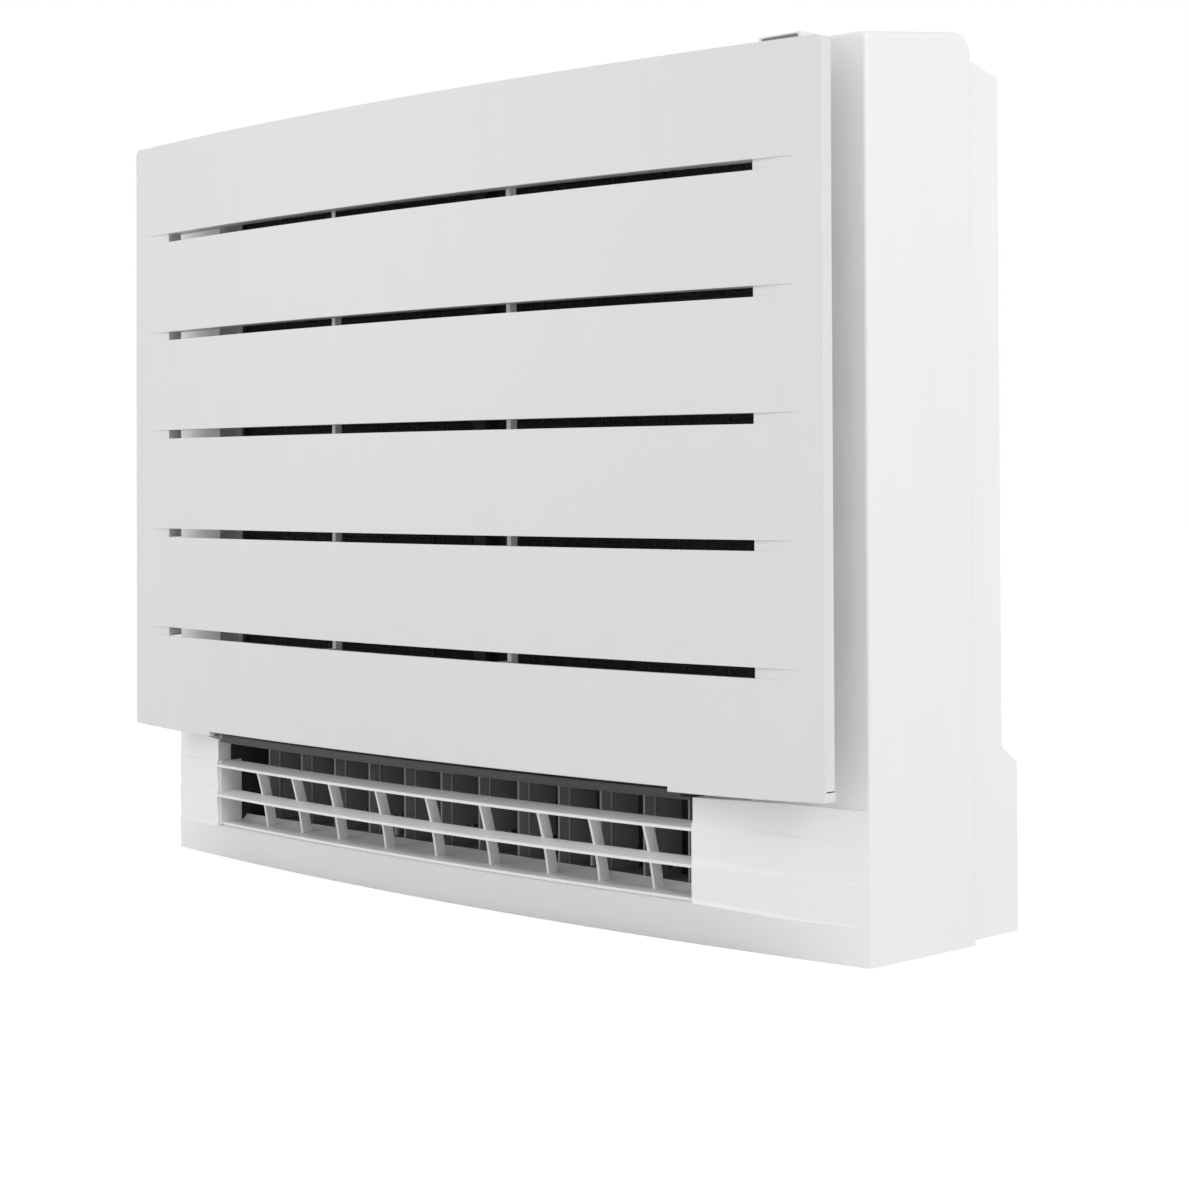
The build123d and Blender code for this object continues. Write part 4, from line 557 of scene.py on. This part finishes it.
def fall(x, radius):
    """How far a quarter round at the panel's side draws an edge back: radius less the root of
    radius ** 2 - over ** 2, where over is how far x has gone into the round."""
    over = np.clip(x - (panel_half - radius), 0, radius)
    return radius - np.sqrt(radius ** 2 - over ** 2)


def crown(x):
    """Distance of the panel's face from the wall: middle - (middle - edge) * (x / half) ** 2."""
    return crown_middle - (crown_middle - crown_edge) * (x / panel_half) ** 2


print("crown at the middle and the side:", crown(0), round(crown(panel_half), 1))

# %% [markdown]
# The strip itself is a grid: one section after another over x, with the front face, a quarter round
# below it, the underside and the back. The left one is the right one's mirror image.

# %% Lower corners of the panel
strip_inner, strip_low, strip_sweep, strip_corner = 252.5, 105.2, 1.8, 1.5
strip_deep, rim_deep, rim_from, rim_over = 4.0, 8.4, 290, 60
edge_round, sunk, lap = 0.8, 0.04, 0.7               # sunk below the face, lapped over the edge
fine_from = 370                                      # beyond this x the sections stand closer

x = np.concatenate([np.linspace(strip_inner, fine_from, 60),
                    np.linspace(fine_from + 0.2, panel_half, 40)])
turn = np.linspace(0, math.pi / 2, 7)[:, None]       # round the front edge, from the face to below
front = crown(x) - sunk - fall(x, edge_round)
swept = strip_sweep * ((x - strip_inner) / (panel_half - strip_inner)) ** 2
low_edge = strip_low + fall(x, strip_corner) + swept
high_edge = panel_foot + fall(x, panel_corner) + lap
deep = strip_deep + (rim_deep - strip_deep) * np.clip((x - rim_from) / rim_over, 0, 1)
distance = np.vstack([front, front - edge_round * (1 - np.cos(turn)), front - deep, front - deep])
height = np.vstack([high_edge, low_edge + edge_round * (1 - np.sin(turn)), low_edge, high_edge])
faces = wrapped_grid(*distance.shape)
mirrored = [numbers[::-1] for numbers in faces]      # a mirrored piece needs its faces turned round
put_in("panel_right_lower_corner", from_wall(x, distance, height).reshape(-1, 3), faces,
       "panel", "panel_white")
put_in("panel_left_lower_corner", from_wall(-x, distance, height).reshape(-1, 3), mirrored,
       "panel", "panel_white")

# %% [markdown]
# ## The tray of the outlet
# Between the blades and the guard's sill lies a pale hollow tray that catches dust and light. Its
# front edge follows the bowed sill, its back edge is straight along the rail, and the surface
# between them sags. It is a grid: x along the outlet, and a closed section in depth and height.
# Subdividing a few bent planes would do, but here both edges are exact by formula.

# %% Outlet tray
tray_half, tray_back, tray_sill = 259.5, 185.4, 203.5
bow_half, bow = 261, 12.0                            # the sill bows back this far at its ends
tray_front_z, tray_back_z, tray_under = 35.2, 39.6, 36.2
sag, skirt = 1.7, 0.8                                # the power of the sag; the front edge's drop
x = np.linspace(-tray_half, tray_half, 121)
share = np.linspace(0, 1, 13)[:, None]               # 0 at the back edge, 1 at the sill
tray_front = tray_sill - bow * (x / bow_half) ** 2
distance = np.vstack([np.full_like(x, tray_back), tray_back + (tray_front - tray_back) * share,
                      tray_front])
sagged = tray_front_z + (tray_back_z - tray_front_z) * (1 - share) ** sag
height = np.vstack([np.full_like(x, tray_under), np.repeat(sagged, len(x), axis=1),
                    np.full_like(x, tray_front_z - skirt)])
put_in("outlet_tray", from_wall(x, distance, height).reshape(-1, 3), wrapped_grid(*distance.shape),
       "casing", "light_grey_plastic")

# %% [markdown]
# ## The dark lining of the outlet's ends
# Only the rim of the outlet is white: a little way in, the dark duct's mouth laps over each end
# wall. Each lining is a thin plate with rounded corners, as one outline of numbers pushed out to a
# thickness of half a millimetre. A bevelled cube would do, but its corners would be bevelled in
# depth as well.

# %% Outlet end linings
lining_wall, lining_thick = 260.95, 0.5              # the plate's outer face, and its thickness
lining_round = 2.0
lining_low, lining_high = np.array([179.0, 35.0]), np.array([200.0, 97.0])
plate = rounded_outline(lining_low, lining_high, lining_round, 7)
for title, near_x, far_x in (("right_outlet_lining", lining_wall - lining_thick, lining_wall),
                             ("left_outlet_lining", -lining_wall, lining_thick - lining_wall)):
    put_in(title, *prism(from_wall(near_x, *plate.T), from_wall(far_x, *plate.T)),
           "casing", "dark_plastic")

# %% [markdown]
# ## The drain hose
# The hose is a corrugated tube of soft polythene: plain at both ends, where it grips a socket, and
# rippled between, so that it bends without a kink. It is one closed outline turned round the hose's
# axis. Outside, the radius swings with a flattened sine; inside, it is the plain bore. A screw
# modifier could turn the outline too, but here the ripples and the turn are one grid.

# %% Drain hose
axis_x, axis_distance = -0.288, 0.120                # the hose's upright axis
hose_foot, hose_top = 0.030, 0.1027
plain, ripple = 0.010, 0.006                         # length of each plain end; length of a ripple
bore, outside, swell = 0.0072, 0.0090, 0.0020        # radii, and how far a ripple rises
steepness = 1.4                                      # the sine is cut off at 1: flat crests

height = np.linspace(hose_foot, hose_top, 146)
rippled = (height > hose_foot + plain) & (height < hose_top - plain)
wave = np.clip(np.sin((height - hose_foot - plain) * 2 * math.pi / ripple) * steepness, 0, 1)
radius = outside + np.where(rippled, swell * wave, 0)
outline = np.vstack([np.column_stack([radius, height]), [[bore, hose_top], [bore, hose_foot]]])
angle = np.linspace(0, 2 * math.pi, 64, endpoint=False)[:, None]
around_x, around_y, along_z = np.broadcast_arrays(
    axis_x + outline[:, 0] * np.cos(angle), wall_y - axis_distance + outline[:, 0] * np.sin(angle),
    outline[:, 1])
points = np.stack([around_x, around_y, along_z], axis=-1).reshape(-1, 3)
hose = put_in("corrugated_drain_hose", points, wrapped_grid(*along_z.shape, closed=True),
              "casing", "hose_grey")
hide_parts("drain_hose")

# %% [markdown]
# ## The studio
# The unit stands on a pale floor, in soft light from an even sky and four square lamps. A large one
# in front on the left makes the crowned panel fade towards its right edge, a low one reaches into
# the outlet, and two beyond the right side lift the side above the front. A plain white sky alone
# would light it evenly and flatten it. Rays from the camera, and those that polished parts send on,
# see a pure white instead of the dimmer sky that lights the plastic.

# %% Sky
def seen_directly(tree):
    """1 where the ray comes from the camera, a mirror or glass, else 0, by the Light Path node."""
    path = add(tree, "ShaderNodeLightPath")
    mirrored = maths(tree, "MAXIMUM", (path, "Is Glossy Ray"), (path, "Is Transmission Ray"))
    return maths(tree, "MAXIMUM", (mirrored, "Value"), (path, "Is Camera Ray"))


sky = bpy.data.worlds.new("studio_sky")
bpy.context.scene.world = sky
sky.use_nodes = True
tree = sky.node_tree
glow = tree.nodes["Background"]
glow.inputs["Color"].default_value = (1, 1, 1, 1)
straight = seen_directly(tree)
brightness = add(tree, "ShaderNodeMapRange", {"To Min": 0.68, "To Max": 1.0})
wire(tree, straight, "Value", brightness, "Value")
wire(tree, brightness, "Result", glow, "Strength")
print("sky: strength", brightness.inputs["To Min"].default_value, "on the unit")


# %% Lamps
def lamp(title, place, aim, size, power):
    """A square soft lamp at a place, turned to its aim."""
    light = bpy.data.lights.new(title, "AREA")
    light.shape, light.size, light.energy = "SQUARE", size, power
    stand = bpy.data.objects.new(title, light)
    bpy.context.scene.collection.objects.link(stand)
    aimed = (Vector(aim) - Vector(place)).to_track_quat("-Z", "Y")
    stand.matrix_world = Matrix.Translation(place) @ aimed.to_matrix().to_4x4()
    return stand


lamps = [lamp("front_lamp", (-1.9, -1.8, 1.0), (0, -0.1, 0.2), 1.6, 12),
         lamp("low_lamp", (1.2, -2.1, 0.4), (0.1, -0.1, 0.15), 0.8, 2.5),
         lamp("right_lamp", (2.4, -1.0, 1.5), (0.35, -0.08, 0.45), 1.0, 13),
         lamp("side_lamp", (2.8, 0.9, 1.4), (0.3, 0, 0.45), 1.2, 8)]
print("lamps:", len(lamps), "with", sum(stand.data.energy for stand in lamps), "W in all")

# %% [markdown]
# The floor is a wide sheet of matt paper. Seen by the camera it is mostly a white glow, with enough
# of the paper left to hold the unit's soft shadow. A plain white glow would lose the shadow, and
# bright paper alone would need more light than the unit can bear.

# %% Floor
reach, paper_glow, glow_share = 12.0, 1.2, 0.75
floor_mesh = bpy.data.meshes.new("studio_floor")
floor_corners = [(-reach, -reach, 0), (reach, -reach, 0), (reach, reach, 0), (-reach, reach, 0)]
floor_mesh.from_pydata(floor_corners, [], [(0, 1, 2, 3)])
floor = bpy.data.objects.new("studio_floor", floor_mesh)
bpy.context.scene.collection.objects.link(floor)
paper = bpy.data.materials.new("studio_paper")
paper.use_nodes = True
tree = paper.node_tree
surface = tree.nodes["Principled BSDF"]
surface.inputs["Base Color"].default_value = (0.8, 0.8, 0.8, 1)
surface.inputs["Roughness"].default_value = 0.9
surface.inputs["Specular IOR Level"].default_value = 0.0
white = add(tree, "ShaderNodeEmission", {"Strength": paper_glow})
glowing = maths(tree, "MULTIPLY", (seen_directly(tree), "Value"), glow_share)
blend = add(tree, "ShaderNodeMixShader")
wire(tree, glowing, "Value", blend, "Fac")
wire(tree, surface, 0, blend, 1)                     # a Mix Shader's two shaders share one name
wire(tree, white, 0, blend, 2)
wire(tree, blend, "Shader", tree.nodes["Material Output"], "Surface")
floor_mesh.materials.append(paper)
bpy.context.scene.view_settings.view_transform = "Standard"
print("floor:", 2 * reach, "m wide")

# %% [markdown]
# ## Sizes
# The frame's box is printed below. It could be read off in the viewport as well.

# %% Print the frame's box
print("frame ", [tuple(round(v, 4) for v in c) for c in frame_box])
